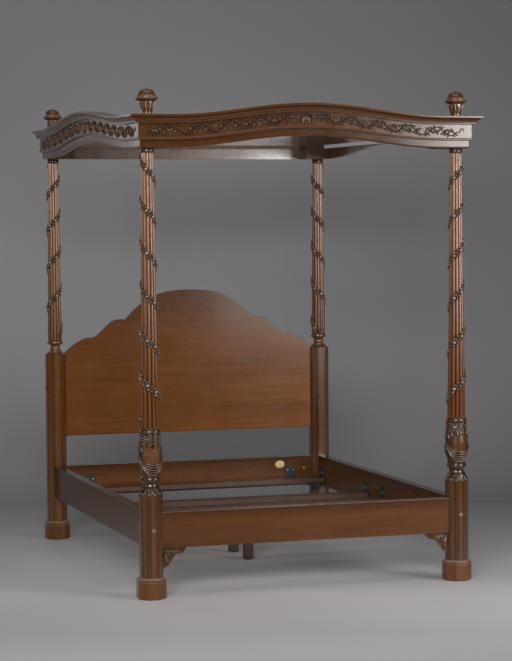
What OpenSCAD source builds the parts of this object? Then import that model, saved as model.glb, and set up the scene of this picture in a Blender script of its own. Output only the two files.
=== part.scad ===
// Four-post tester bed: octagonal and turned posts with reeded shafts, plain rails, an arched
// headboard, loose slats on steel hangers, and an open tester whose cornice rises in the middle.
// +X runs across the bed, +Y from the foot to the head, +Z up. The origin is on the floor, in the
// middle of the whole bed's box. Sizes are millimetres.

/* [Bed] */
// Distance between the post axes across the bed
post_span_x = 1600; // [1300:10:2000]
// Distance between the post axes from foot to head
post_span_y = 2100; // [1950:10:2300]
// Height of the tester's lower edge at its corners
tester_bottom = 2178; // [2000:1:2400]

/* [Posts] */
// Width of the octagonal block across its flats
block_flats = 108; // [100:1:120]
// Height of the plinth block under each post
plinth_h = 105; // [80:1:130]
// Width of the plinth block across its flats
plinth_flats = 136; // [126:1:150]
// Height of the octagonal block's top on a foot post
foot_block_top = 515; // [480:1:560]
// Height of the octagonal block's top on a head post
head_block_top = 1060; // [1000:1:1120]
// Number of reeds round a shaft
reeds = 12; // [8:1:16]
// Width of the carved vine that winds up each shaft
vine_w = 20; // [14:1:26]

/* [Rails] */
// Height of the rails' lower edge
rail_bottom = 244; // [220:1:260]
// Height of a rail from edge to edge
rail_h = 175; // [165:1:200]
// Thickness of a rail
rail_t = 45; // [38:1:50]
// Length of a knee bracket along the foot rail
knee_w = 120; // [90:1:160]
// Drop of a knee bracket below the foot rail
knee_h = 105; // [80:1:130]

/* [Headboard] */
// Height of the headboard's lower edge
headboard_bottom = 591; // [560:1:640]
// Height of the headboard's crest
headboard_top = 1418; // [1340:1:1460]
// Thickness of the headboard
headboard_t = 28; // [22:1:36]

/* [Slats] */
// Height of the slats' upper face
slat_top = 297; // [290:1:310]
// Width of a slat
slat_w = 100; // [80:1:110]
// Thickness of a slat
slat_t = 24; // [20:1:28]
// Thickness of a square centre leg
leg_t = 46; // [40:1:56]

/* [Tester] */
// Rise of the cornice at the middle of each side
tester_rise = 60; // [40:1:66]
// Share of each half side that the rise takes up
arch_share = 0.88; // [0.80:0.01:0.90]
// Number of straight steps in each arch
arch_steps = 20; // [16:2:28]

/* [Finials] */
// Height of a finial above the tester's corner
finial_h = 131; // [120:1:145]
// Width of a finial across its ring
finial_d = 115; // [100:1:125]

/* [Hardware] */
// Diameter of a bed bolt's shank
bolt_d = 8; // [6:1:10]
// Diameter of a bolt cover's domed cap
cover_d = 26; // [24:1:30]
// Thickness of the hangers' steel
steel_t = 4; // [3:0.5:5]

/* [Hidden] */
$fn = 48;
eps = 0.01;

// Colours
wood = "#6b3f26";
dark_wood = "#4c2c1d";
pale_wood = "#9c8a80";
slat_wood = "#7a5238";
steel = "#2c2b2d";
bright_steel = "#9a9a9c";
brass = "#c9a24a";

// How far the tester's pieces stand out from the lines that join the post axes
board_in = 25;
board_out = 50;
frieze_out = 61;
crown_out = 107;

// Places of the posts: the whole bed's box is centred on the origin
post_x = post_span_x / 2;
box_shift = (crown_out - plinth_flats / 2) / 2;
foot_y = -post_span_y / 2 + box_shift;
head_y = post_span_y / 2 + box_shift;
mid_y = box_shift;
half_block = block_flats / 2;

// Heights up a post
shaft_top = tester_bottom;
foot_shaft_base = foot_block_top + 305;
head_shaft_base = head_block_top + 78;
tester_h = 158;
tester_top = tester_bottom + tester_h;

// ---------------------------------------------------------------- outline helpers

// A round bead between two heights, from one radius out to another and back
function bead(z0, z1, r_in, r_out, n = 6) = [
    for (i = [0:n]) [r_in + (r_out - r_in) * sin(180 * i / n), z0 + (z1 - z0) * (1 - cos(180 * i / n)) / 2]
];

// A smooth S between two heights and two radii
function ease(z0, z1, r0, r1, n = 6) = [
    for (i = [0:n]) [r0 + (r1 - r0) * (1 - cos(180 * i / n)) / 2, z0 + (z1 - z0) * i / n]
];

// A line between two points that bows to its left by a given amount
function bow(p, q, sag, n = 6) = let (d = q - p, side = [-d[1], d[0]] / norm(d)) [
    for (i = [0:n]) let (t = i / n) p + t * d + side * sag * 4 * t * (1 - t)
];

// A solid turned from a list of radii and heights, closed down the axis
module turned(outline) {
    first = outline[0];
    last = outline[len(outline) - 1];
    rotate_extrude()
        polygon(concat([[0, first[1]]], outline, [[0, last[1]]]));
}

// An upright octagonal prism with its flats facing the axes
module octagon(flats, z0, z1) {
    translate([0, 0, z0])
        rotate([0, 0, 22.5])
            cylinder(r = flats / 2 / cos(22.5), h = z1 - z0, $fn = 8);
}

// A closed skin through rings that all have the same number of points
module loft(rings) {
    n = len(rings[0]);
    last = len(rings) - 1;
    sides = [
        for (k = [0:last - 1], i = [0:n - 1])
            let (a = k * n + i, b = k * n + (i + 1) % n)
            each [[a, b + n, b], [a, a + n, b + n]]
    ];
    polyhedron(
        points = [for (ring = rings) each ring],
        faces = concat([[for (i = [0:n - 1]) i]], sides, [[for (i = [n - 1:-1:0]) last * n + i]])
    );
}

// The eight corners of an octagon at a height, from its width across the flats
function octagon_ring(flats, z) = [
    for (a = [22.5:45:337.5]) [flats / 2 / cos(22.5) * cos(a), flats / 2 / cos(22.5) * sin(a), z]
];

// Puts a part at a post: x_side is -1 for left or 1 for right
module at_post(x_side, y) {
    translate([x_side * post_x, y, 0])
        children();
}

// Lies a part that stands on the origin down, so that it points outwards along X
module point_x(x_side) {
    rotate([0, x_side * 90, 0])
        children();
}

// Lies a part that stands on the origin down, so that it points outwards along Y
module point_y(y_side) {
    rotate([-y_side * 90, 0, 0])
        children();
}

// ---------------------------------------------------------------- bolted joints

bolt_x_z = 348;
bolt_y_z = 334;
headboard_bolt_z = 867;
bolt_r = bolt_d / 2;
bolt_hole_r = bolt_r + 0.5;
sink_r = 10;
sink_depth = 14;
nut_r = 7;
nut_len = 22;
nut_depth = 50;
bolt_end = 12;
tenon_len = 20;
tenon_t = 25;
tenon_h = 110;

// Distance of a bolt's head seat, its nut and its tip from the post axis, outwards
seat_at = half_block - sink_depth;
nut_at = -(half_block + nut_depth);
tip_at = nut_at - bolt_end;

// The hole through a post: a shank hole and a wide sink under the cover
module bolt_hole() {
    translate([0, 0, tip_at])
        cylinder(r = bolt_hole_r, h = seat_at - tip_at + 1);
    translate([0, 0, seat_at])
        cylinder(r = sink_r, h = sink_depth + 1);
}

// A hexagon-headed bed bolt
module bolt() {
    head_h = 5;
    translate([0, 0, tip_at])
        cylinder(r = bolt_r, h = seat_at - tip_at + eps);
    translate([0, 0, seat_at])
        cylinder(r = 7.5, h = head_h, $fn = 6);
}

// The cross-drilled nut that the bolt screws into, lying across the rail
module nut(turn) {
    translate([0, 0, nut_at])
        rotate([0, 0, turn])
            difference() {
                rotate([90, 0, 0])
                    cylinder(r = nut_r, h = nut_len, center = true);
                cylinder(r = bolt_r + 0.05, h = 3 * nut_r, center = true);
            }
}

// The hole that the nut goes in, drilled from one face of the rail
module nut_hole(turn, thickness) {
    translate([0, 0, nut_at])
        rotate([0, 0, turn])
            rotate([90, 0, 0])
                translate([0, 0, -nut_len / 2])
                    cylinder(r = nut_r + 0.1, h = nut_len / 2 + thickness);
}

// The turned wooden button that closes the sink
module cover() {
    stem = 7;
    translate([0, 0, half_block - stem])
        cylinder(r = sink_r - 0.2, h = stem + eps);
    translate([0, 0, half_block])
        turned(concat(
            [[cover_d / 2 - 1.5, 0], [cover_d / 2, 1.5]],
            bow([cover_d / 2, 2], [3, 7.5], -1.6),
            [[0, 8]]
        ));
}

// Every place where a bolt goes through a post, with the part given for that place
module at_rail_ends_x() {
    for (x_side = [-1, 1], y = [foot_y, head_y])
        translate([x_side * post_x, y, bolt_x_z])
            point_x(x_side)
                children();
}

module at_rail_ends_y() {
    for (x_side = [-1, 1], y_side = [-1, 1])
        translate([x_side * post_x, y_side < 0 ? foot_y : head_y, bolt_y_z])
            point_y(y_side)
                children();
}

module at_headboard_ends() {
    for (x_side = [-1, 1])
        translate([x_side * post_x, head_y, headboard_bolt_z])
            point_x(x_side)
                children();
}

// ---------------------------------------------------------------- posts

// The octagonal plinth, with an eased foot and a moulded upper edge: widths and heights
module plinth(x_side, y) {
    w = plinth_flats;
    h = plinth_h;
    steps = [
        [w - 6, 0], [w, 5], [w, h - 22], [w - 5, h - 20], [w - 5, h - 17],
        [w, h - 15], [w, h - 10], [w - 8, h - 4], [block_flats + 6, h]
    ];
    color(wood)
        at_post(x_side, y)
            loft([for (step = steps) octagon_ring(step[0], step[1])]);
}

// The octagonal block of a post, turned to a shoulder at its top
module octagon_block(top, shoulder_h, shoulder_r) {
    corner_r = half_block / cos(22.5) + 1;
    intersection() {
        octagon(block_flats, plinth_h, top + shoulder_h);
        turned(concat([[corner_r, plinth_h - 1], [corner_r, top]],
            bow([corner_r - 2, top + 1], [shoulder_r, top + shoulder_h], 2)));
    }
}

// Two narrow grooves up each flat of a block that leave a bead at every corner
module corner_beads(top) {
    inset = half_block * tan(22.5) - 9;
    for (turn = [0:45:315], side = [-1, 1])
        rotate([0, 0, turn])
            translate([half_block - 2.5, side * inset - 1.5, plinth_h + 14])
                cube([4, 3, top - plinth_h - 34]);
}

// The mortise and the bolt hole for each rail, pointing along X and along Y
module rail_joints(x_side, y_side) {
    mortise_z = rail_bottom + (rail_h - tenon_h) / 2;
    translate([-x_side * (half_block - tenon_len / 2 + 1) - tenon_len / 2 - 1, -tenon_t / 2, mortise_z])
        cube([tenon_len + 2, tenon_t, tenon_h]);
    translate([-tenon_t / 2, -y_side * (half_block - tenon_len / 2 + 1) - tenon_len / 2 - 1, mortise_z])
        cube([tenon_t, tenon_len + 2, tenon_h]);
    translate([0, 0, bolt_x_z])
        point_x(x_side)
            bolt_hole();
    translate([0, 0, bolt_y_z])
        point_y(y_side)
            bolt_hole();
}

stud_r = 6;
stud_len = 100;

// Radius of the foot post's plain vase at a height above its block
vase_base = 79;
vase_top = 286;
function vase_r(z) = z < 162
    ? 43 + 12 * (1 - cos(180 * max(0, z - vase_base) / 83)) / 2
    : 55 - 9 * (1 - cos(180 * (z - 162) / (vase_top - 162))) / 2;

// Places round the vase: 0 in front and behind, where a swag hangs lowest, and 1 at the sides
vase_corners = 20;
function swag_u(m) = abs(90 - (m * 360 / vase_corners) % 180) / 90;

// One point of the vase's skin, lifted off the plain vase
function vase_point(m, z, lift) = let (a = m * 360 / vase_corners, r = vase_r(z) + lift)
    [r * cos(a), r * sin(a), z];

// A row of points that sags from a height at the sides to a height in front and behind
function vase_row(low, high, lift_low, lift_high) = [
    for (m = [0:vase_corners - 1])
        let (u = pow(swag_u(m), 2.1))
        vase_point(m, low + (high - low) * u, lift_low + (lift_high - lift_low) * u)
];

// A row of leaf tips or leaf backs: every other point stands out as the rib of a leaf
function leaf_row(low, high, rib, gap) = [
    for (m = [0:vase_corners - 1])
        vase_point(m, low + (high - low) * swag_u(m), m % 2 == 0 ? rib : gap)
];

// The carved vase: a swag of five folds before and behind, a plain oval over each, and a band of
// hanging leaves. Each pair of heights is for the middle of a swag and for its ends.
module carved_vase() {
    folds = 5;
    first_groove = [84, 176];
    fold_pitch = [12, 2.5];
    fold_lift = [5, 1.5];
    groove_lift = [-0.5, -0.3];
    oval_middle = [180, 194];
    leaf_tips = [221, 204];
    leaf_curl = [229, 213];
    leaf_backs = [258, 252];
    swags = [
        for (k = [0:2 * folds])
            let (z = first_groove + k / 2 * fold_pitch, lift = k % 2 == 0 ? groove_lift : fold_lift)
            vase_row(z[0], z[1], lift[0], lift[1])
    ];
    leaves = [
        leaf_row(leaf_tips[0], leaf_tips[1], 0.6, 0),
        leaf_row(leaf_curl[0], leaf_curl[1], 5, 1),
        leaf_row(leaf_backs[0], leaf_backs[1], 4, 0.8)
    ];
    loft(concat(
        [vase_row(vase_base, vase_base, 0, 0)],
        swags,
        [vase_row(oval_middle[0], oval_middle[1], 0, 0)],
        leaves,
        [vase_row(vase_top, vase_top, 0, 0)]
    ));
}

// A foot post: block, leaf ring, neck, ring, carved vase and upper ring
module foot_post(x_side) {
    top = foot_block_top;
    color(wood)
        at_post(x_side, foot_y)
            difference() {
                union() {
                    octagon_block(top, 13, 45);
                    translate([0, 0, top]) {
                        turned(concat(
                            [[36, 2]],
                            bead(4, 33, 37, 42.5),
                            bead(35, 62, 37, 34.5),
                            bead(64, 77, 40, 48),
                            [[44.5, vase_base]]
                        ));
                        carved_vase();
                        turned(concat([[48, vase_top]], bead(288, 305, 47, 51.5)));
                    }
                }
                corner_beads(top);
                rail_joints(x_side, -1);
                translate([0, 0, foot_shaft_base - stud_len / 2])
                    cylinder(r = stud_r, h = stud_len);
            }
}

// A head post: block, sloping shoulder, small neck ring and a wide ring under the shaft
module head_post(x_side) {
    top = head_block_top;
    groove_bottom = headboard_bottom + 40;
    color(wood)
        at_post(x_side, head_y)
            difference() {
                union() {
                    octagon_block(top, 24, 33);
                    translate([0, 0, top])
                        turned(concat(
                            [[26, 20]],
                            bead(28, 48, 25, 29.5),
                            ease(50, 62, 25, 38),
                            bead(62, 78, 41, 45)
                        ));
                }
                rail_joints(x_side, 1);
                translate([0, 0, headboard_bolt_z])
                    point_x(x_side)
                        bolt_hole();
                translate([-x_side * (half_block - 7) - 8, -headboard_tongue_t / 2, groove_bottom])
                    cube([16, headboard_tongue_t, headboard_tongue_h]);
                translate([0, 0, head_shaft_base - stud_len / 2])
                    cylinder(r = stud_r, h = stud_len);
            }
}

// The radius over the reeds at a height, foot shafts being thicker at the bottom
foot_taper = [[820, 46.5], [1014, 43.5], [1165, 40.5], [1417, 36.5], [1790, 33.5], [2165, 31]];
head_taper = [[1138, 40], [1417, 36], [1790, 33.5], [2165, 30.5]];

// Corners of the shaft's section: four to each reed
corners = 4 * reeds;

// Direction of a numbered corner, which may be counted on over several turns
function corner_angle(m) = (m + 0.5) * 360 / corners;

// Radius of the half-round reeds at a corner, as a share of the radius over them
function reed_share(m) = let (off = ((m % 4) - 1.5) / 4 * 360 / reeds, c = 0.76)
    c * cos(off) + sqrt(max(0, pow(1 - c, 2) - pow(c * sin(off), 2)));

function around(r, m, z) = [r * cos(corner_angle(m)), r * sin(corner_angle(m)), z];

// One level ring of reeds
function reed_ring(taper, z) = [for (m = [0:corners - 1]) around(lookup(z, taper) * reed_share(m), m, z)];

// Height of the vine's middle after a number of turns down, its pitch growing towards the foot
function vine_z(t, spiral) = spiral[1] - spiral[2] * t - spiral[3] * t * t;

// The number of turns down at which the vine reaches a height
function vine_turn(z, spiral) = let (pitch = spiral[2], growth = spiral[3])
    (sqrt(pow(pitch, 2) + 4 * growth * (spiral[1] - z)) - pitch) / (2 * growth);

// Half width and height of the vine at a corner: a leaf swells and closes every six corners
leaf_w = [0.62, 0.95, 1.2, 1.25, 1.0, 0.7];
leaf_h = [2.2, 4.6, 6.4, 6.2, 4.4, 2.6];

// The four points across the vine at a corner: lower edge, two crest points, upper edge
function vine_row(m, turn, fade, spiral, taper) = let (
    z = vine_z(turn, spiral),
    w = vine_w / 2 * leaf_w[m % 6] * (0.4 + 0.6 * fade),
    edge = [z - w, z + w],
    crest = [z - 0.45 * w, z + 0.45 * w]
) [
    around(lookup(edge[0], taper) * reed_share(m), m, edge[0]),
    around(lookup(crest[0], taper) + leaf_h[m % 6] * fade, m, crest[0]),
    around(lookup(crest[1], taper) + leaf_h[(m + 1) % 6] * fade, m, crest[1]),
    around(lookup(edge[1], taper) * reed_share(m), m, edge[1])
];

// A reeded, tapered shaft whose skin carries the carved vine. The vine is one strip that winds up
// the shaft; reeded panels join each turn's upper edge to the lower edge of the turn above.
module reeded_shaft(taper, base, top, spiral) {
    n = corners;
    deepest = 8;
    first = ceil(n * (deepest - vine_turn(base + 24, spiral)) + n * spiral[4] / 360);
    last = floor(n * (deepest - vine_turn(top - 14, spiral)) + n * spiral[4] / 360);
    count = last - first;
    function turn(m) = deepest - (m + 0.5) / n + spiral[4] / 360;
    rows = [
        for (m = [first:last])
            let (fade = min(1, (m - first) / 5, (last - m) / 5))
            vine_row(m, turn(m), fade, spiral, taper)
    ];
    bottom_at = 4 * (count + 1);
    top_at = bottom_at + n;
    function v(i, j) = 4 * i + j;
    function low(i) = bottom_at + (first + i) % n;
    function high(i) = top_at + (first + i) % n;
    strips = [
        for (i = [0:count - 1], j = [0:2])
            each [[v(i, j), v(i + 1, j), v(i + 1, j + 1)], [v(i, j), v(i + 1, j + 1), v(i, j + 1)]]
    ];
    panels = [
        for (i = [0:count - n - 1])
            each [[v(i, 3), v(i + 1, 3), v(i + n + 1, 0)], [v(i, 3), v(i + n + 1, 0), v(i + n, 0)]]
    ];
    skirt = [
        for (i = [0:n - 2])
            each [[low(i), low(i + 1), v(i + 1, 0)], [low(i), v(i + 1, 0), v(i, 0)]]
    ];
    start_edge = [low(0), v(0, 0), v(0, 1), v(0, 2), v(0, 3), v(n, 0)];
    start = concat([[v(n - 1, 0), low(n - 1), low(0)]], [
        for (k = [0:4]) [v(n - 1, 0), start_edge[k], start_edge[k + 1]]
    ]);
    neck = [
        for (i = [count - n + 1:count - 1])
            each [[v(i, 3), v(i + 1, 3), high(i + 1)], [v(i, 3), high(i + 1), high(i)]]
    ];
    end_edge = [high(count), v(count, 3), v(count, 2), v(count, 1), v(count, 0), v(count - n, 3)];
    finish = concat([[v(count - n + 1, 3), high(count - n + 1), high(count)]], [
        for (k = [0:4]) [v(count - n + 1, 3), end_edge[k], end_edge[k + 1]]
    ]);
    centres = top_at + n;
    caps = [
        for (m = [0:n - 1])
            let (next = (m + 1) % n)
            each [[centres, bottom_at + next, bottom_at + m], [centres + 1, top_at + m, top_at + next]]
    ];
    skin = concat(strips, panels, skirt, start, neck, finish, caps);
    polyhedron(
        points = concat(
            [for (row = rows) each row], reed_ring(taper, base), reed_ring(taper, top),
            [[0, 0, base], [0, 0, top]]
        ),
        faces = [for (face = skin) [face[0], face[2], face[1]]]
    );
}

// A whole shaft: reeds and vine, and the small collar under the tester
module shaft(x_side, y, taper, base, spiral) {
    collar_z = shaft_top - 22;
    color(wood)
        at_post(x_side, y)
            difference() {
                union() {
                    mirror([0, spiral[0] < 0 ? 1 : 0, 0])
                        reeded_shaft(taper, base, collar_z, spiral);
                    translate([0, 0, collar_z])
                        turned([[31, 0], [34, 7], [34, 12], [31, 16], [33, 22]]);
                }
                translate([0, 0, base - 1])
                    cylinder(r = stud_r + 0.3, h = stud_len / 2 + 1);
                translate([0, 0, shaft_top - pin_sunk])
                    cylinder(r = pin_r + 0.3, h = pin_sunk + 1);
            }
}

module foot_shaft(x_side, spiral) {
    shaft(x_side, foot_y, foot_taper, foot_shaft_base, spiral);
}

module head_shaft(x_side, spiral) {
    shaft(x_side, head_y, head_taper, head_shaft_base, spiral);
}

module post_studs() {
    color(bright_steel) {
        for (x_side = [-1, 1]) {
            translate([x_side * post_x, foot_y, foot_shaft_base - stud_len / 2])
                cylinder(r = stud_r, h = stud_len - 1);
            translate([x_side * post_x, head_y, head_shaft_base - stud_len / 2])
                cylinder(r = stud_r, h = stud_len - 1);
        }
    }
}

// ---------------------------------------------------------------- pins and finials

pin_r = 6;
pin_sunk = 80;
pin_proud = 56;

// The steel pins that locate the tester on the posts and the finials on the tester
module tester_pins() {
    color(bright_steel)
        for (x_side = [-1, 1], y = [foot_y, head_y])
            translate([x_side * post_x, y, shaft_top - pin_sunk])
                cylinder(r = pin_r, h = pin_sunk + tester_top - shaft_top + pin_proud);
}

// A turned finial: fluted cup, wide ring and a domed cap that rises to a small tip
module finial(x_side, y) {
    ring_z = 80;
    flutes = 10;
    color(wood)
        translate([x_side * post_x, y, tester_top])
            difference() {
                turned(concat(
                    [[28, 0], [28, 4]],
                    ease(6, 62, 25.5, 36.5, 8),
                    bow([40, 64], [finial_d / 2 - 3, ring_z - 5], -1.5, 4),
                    bead(ring_z - 5, ring_z + 3, finial_d / 2 - 3, finial_d / 2, 4),
                    [[finial_d / 2 - 9, ring_z + 5]],
                    bead(ring_z + 5, ring_z + 12, 46, 48, 4),
                    bow([43, ring_z + 13], [8, finial_h - 8], -9, 8),
                    bow([5, finial_h - 6], [0.5, finial_h], 0, 2)
                ));
                translate([0, 0, -1])
                    cylinder(r = pin_r + 0.06, h = pin_proud + 3);
                for (turn = [0:flutes - 1])
                    rotate([0, 0, turn * 360 / flutes])
                        translate([29, 0, 8])
                            rotate([0, 11, 0])
                                cylinder(r1 = 3, r2 = 6, h = 50, $fn = 24);
            }
}

// ---------------------------------------------------------------- rails

// A rail that lies along X from the origin, with a tenon on each end
module rail(run) {
    tenon_z = rail_bottom + (rail_h - tenon_h) / 2;
    translate([-run / 2, -rail_t / 2, rail_bottom])
        cube([run, rail_t, rail_h]);
    translate([-run / 2 - tenon_len, -tenon_t / 2, tenon_z])
        cube([run + 2 * tenon_len, tenon_t, tenon_h]);
}

module rail_foot() {
    color(wood)
        difference() {
            translate([0, foot_y, 0])
                rail(post_span_x - block_flats);
            at_rail_ends_x() {
                bolt_hole();
                nut_hole(180, rail_t);
            }
            screw_holes();
        }
}

module rail_head() {
    color(wood)
        difference() {
            translate([0, head_y, 0])
                rail(post_span_x - block_flats);
            at_rail_ends_x() {
                bolt_hole();
                nut_hole(0, rail_t);
            }
            screw_holes();
        }
}

module side_rail(x_side) {
    color(wood)
        difference() {
            translate([x_side * post_x, mid_y, 0])
                rotate([0, 0, 90])
                    rail(post_span_y - block_flats);
            at_rail_ends_y() {
                bolt_hole();
                nut_hole(-x_side * 90, rail_t);
            }
            screw_holes();
        }
}

// A knee bracket: a round lobe by the rail, then a hollow sweep down the post
module knee(x_side) {
    lobe_w = 56;
    lobe_h = 33;
    knee_t = 26;
    inner = knee_w - lobe_w;
    lobe = [for (a = [0:15:90]) [inner + lobe_w * cos(a), -lobe_h * sin(a)]];
    color(wood)
        translate([x_side * (post_x - half_block), foot_y + knee_t / 2, rail_bottom])
            mirror([x_side > 0 ? 1 : 0, 0, 0])
                rotate([90, 0, 0])
                    linear_extrude(knee_t)
                        polygon(concat([[0, 0]], lobe, bow([inner - 2, -lobe_h - 3], [0, -knee_h], 6)));
}

// ---------------------------------------------------------------- headboard

headboard_tongue_t = 16;
headboard_tongue_h = 380;
headboard_tongue = 14;

// Right half of the headboard's upper edge, from the crest outwards
function headboard_edge() = let (
    half = post_x - half_block, cusp = 385, cusp_z = headboard_top - 168, lobe = 430, hollow = 590
) concat(
    [for (x = [0:cusp / 14:cusp + eps]) [x, headboard_top - 168 * pow(x / cusp, 2.7)]],
    [[cusp + 12, cusp_z + 4], [lobe, cusp_z + 3]],
    [for (t = [0.1:0.1:1]) [lobe + (hollow - lobe) * t, cusp_z + 3 - 101 * (1 - cos(180 * t)) / 2]],
    [for (t = [0.125:0.125:1.01]) [hollow + (half - hollow) * t, cusp_z - 98 - 84 * (1 - cos(90 * t))]]
);

module headboard() {
    edge = headboard_edge();
    half = post_x - half_block;
    left = [for (i = [len(edge) - 1:-1:1]) [-edge[i][0], edge[i][1]]];
    tongue_at = [-half - headboard_tongue, headboard_bottom + 40, (headboard_t - headboard_tongue_t) / 2];
    color(wood)
        difference() {
            translate([0, head_y + headboard_t / 2, 0])
                rotate([90, 0, 0]) {
                    linear_extrude(headboard_t)
                        polygon(concat([[half, headboard_bottom], [-half, headboard_bottom]], left, edge));
                    translate(tongue_at)
                        cube([2 * (half + headboard_tongue), headboard_tongue_h, headboard_tongue_t]);
                }
            at_headboard_ends() {
                bolt_hole();
                nut_hole(180, headboard_t);
            }
        }
}

// ---------------------------------------------------------------- bolts, nuts and covers

module bed_bolts() {
    color(bright_steel) {
        at_rail_ends_x()
            bolt();
        at_rail_ends_y()
            bolt();
        at_headboard_ends()
            bolt();
    }
}

module barrel_nuts() {
    color(bright_steel) {
        at_rail_ends_x()
            nut(0);
        at_rail_ends_y()
            nut(90);
        at_headboard_ends()
            nut(0);
    }
}

module bolt_covers() {
    color(dark_wood) {
        at_rail_ends_x()
            cover();
        at_rail_ends_y()
            cover();
        at_headboard_ends()
            cover();
    }
}

// ---------------------------------------------------------------- slats and hangers

// Place of each slat's middle: foot, two legged ones, head
slat_ys = [foot_y + 150, mid_y - 70, mid_y + 200, head_y - 115];
slat_half = post_x - rail_t / 2 - steel_t - 1;
slat_bottom = slat_top - slat_t;
leg_stud_r = 4;
leg_stud_len = 60;
glide_h = 6;

// A loose slat, drilled for its leg's stud where it has a leg
module slat(y, has_leg) {
    color(slat_wood)
        difference() {
            translate([-slat_half, y - slat_w / 2, slat_bottom])
                cube([2 * slat_half, slat_w, slat_t]);
            if (has_leg)
                translate([0, y, slat_bottom - 1])
                    cylinder(r = leg_stud_r + 0.1, h = 16);
        }
}

module leg(y) {
    color(slat_wood)
        difference() {
            translate([-leg_t / 2, y - leg_t / 2, glide_h])
                cube([leg_t, leg_t, slat_bottom - glide_h]);
            translate([0, y, slat_bottom - leg_stud_len + 14])
                cylinder(r = leg_stud_r + 0.1, h = leg_stud_len);
            translate([0, y, glide_h - 1])
                cylinder(r = 4.1, h = 16);
        }
}

module leg_studs() {
    color(bright_steel)
        for (y = [slat_ys[1], slat_ys[2]])
            translate([0, y, slat_bottom - leg_stud_len + 14.5])
                cylinder(r = leg_stud_r, h = leg_stud_len);
}

// A round glide under each centre leg, with a spigot up into the leg
module leg_glides() {
    color(steel)
        for (y = [slat_ys[1], slat_ys[2]])
            translate([0, y, 0]) {
                turned([[15, 0], [17, 2], [17, glide_h]]);
                cylinder(r = 4, h = glide_h + 14);
            }
}

hanger_w = 64;
side_hanger_foot = 92;
end_hanger_foot = 38;
hanger_top = 361;
hanger_lip = 22;
screw_r = 2.5;
screw_len = 18;
screw_gap = 36;

// Height of the screws above the slats or the mattress base that a hanger carries
function screw_z(z0) = (hanger_top + z0) / 2 + 8;

// An L-shaped hanger: the plate is on the YZ plane at x = 0, its foot points along +X below z0
// and is stiffened by a lip turned down along each edge
module hanger(z0, foot) {
    difference() {
        union() {
            translate([0, -hanger_w / 2, z0 - steel_t])
                cube([steel_t, hanger_w, hanger_top - z0 + steel_t]);
            translate([0, -hanger_w / 2, z0 - steel_t])
                cube([foot, hanger_w, steel_t]);
            for (side = [-1, 1])
                translate([0, side * (hanger_w - steel_t) / 2 - steel_t / 2, z0 - hanger_lip])
                    cube([foot, steel_t, hanger_lip]);
        }
        for (side = [-1, 1])
            translate([-1, side * screw_gap / 2, screw_z(z0)])
                rotate([0, 90, 0])
                    cylinder(r = screw_r + 0.2, h = steel_t + 2);
    }
}

// A round-headed screw through a hanger's plate into the rail
module hanger_screw_pair(z0) {
    for (side = [-1, 1])
        translate([0, side * screw_gap / 2, screw_z(z0)])
            rotate([0, 90, 0]) {
                translate([0, 0, -screw_len])
                    cylinder(r = screw_r, h = screw_len + steel_t + eps);
                translate([0, 0, steel_t])
                    turned([[5, 0], [4.6, 1.4], [3, 2.6], [0.5, 3]]);
            }
}

// The hangers' places: plates on the inner faces of the rails
module at_slat_hangers(x_side) {
    for (y = slat_ys)
        translate([x_side * (post_x - rail_t / 2), y, 0])
            mirror([x_side > 0 ? 1 : 0, 0, 0])
                children();
}

end_hanger_x = 610;

module at_end_hangers(y_side) {
    for (x_side = [-1, 1])
        translate([x_side * end_hanger_x, y_side < 0 ? foot_y + rail_t / 2 : head_y - rail_t / 2, 0])
            rotate([0, 0, y_side < 0 ? 90 : -90])
                children();
}

module hangers_side(x_side) {
    color(steel)
        at_slat_hangers(x_side)
            hanger(slat_bottom, side_hanger_foot);
}

module hangers_end(y_side) {
    color(steel)
        at_end_hangers(y_side)
            hanger(slat_top, end_hanger_foot);
}

module hanger_screws() {
    color(bright_steel) {
        for (side = [-1, 1]) {
            at_slat_hangers(side)
                hanger_screw_pair(slat_bottom);
            at_end_hangers(side)
                hanger_screw_pair(slat_top);
        }
    }
}

// The holes that the hangers' screws bite into
module screw_holes() {
    for (side = [-1, 1]) {
        at_slat_hangers(side)
            screw_hole_pair(slat_bottom);
        at_end_hangers(side)
            screw_hole_pair(slat_top);
    }
}

module screw_hole_pair(z0) {
    for (side = [-1, 1])
        translate([-screw_len, side * screw_gap / 2, screw_z(z0)])
            rotate([0, 90, 0])
                cylinder(r = screw_r, h = screw_len + 1);
}

medallion_x = 545;
medallion_z = 373;
medallion_w = 56;
medallion_h = 44;

module oval(half_w, half_h) {
    polygon([for (a = [0:12:348]) [half_w * cos(a), half_h * sin(a)]]);
}

// A small plain oval of brass on the head rail
module medallion() {
    plate_t = 3;
    centre_t = 1.5;
    rim = 5;
    color(brass)
        translate([medallion_x, head_y - rail_t / 2, medallion_z])
            rotate([90, 0, 0]) {
                linear_extrude(plate_t)
                    oval(medallion_w / 2, medallion_h / 2);
                translate([0, 0, plate_t])
                    linear_extrude(centre_t)
                        oval(medallion_w / 2 - rim, medallion_h / 2 - rim);
            }
}

// ---------------------------------------------------------------- tester

block_reach = 108;

// The square blocks over the posts that the boards are fixed to
module corner_blocks() {
    color(dark_wood)
        for (x_side = [-1, 1], y_side = [-1, 1])
            translate([x_side * post_x, y_side < 0 ? foot_y : head_y, shaft_top])
                difference() {
                    translate([-(x_side > 0 ? block_reach : board_in), -(y_side > 0 ? block_reach : board_in), 0])
                        cube([block_reach + board_in, block_reach + board_in, tester_top - shaft_top]);
                    translate([0, 0, -1])
                        cylinder(r = pin_r + 0.4, h = tester_top - shaft_top + 2);
                }
}

// How much the cornice has risen at a distance from the middle of a side
function hump(x, half) = let (reach = arch_share * half)
    abs(x) >= reach ? 0 : tester_rise * (1 + cos(180 * x / reach)) / 2;

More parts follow.
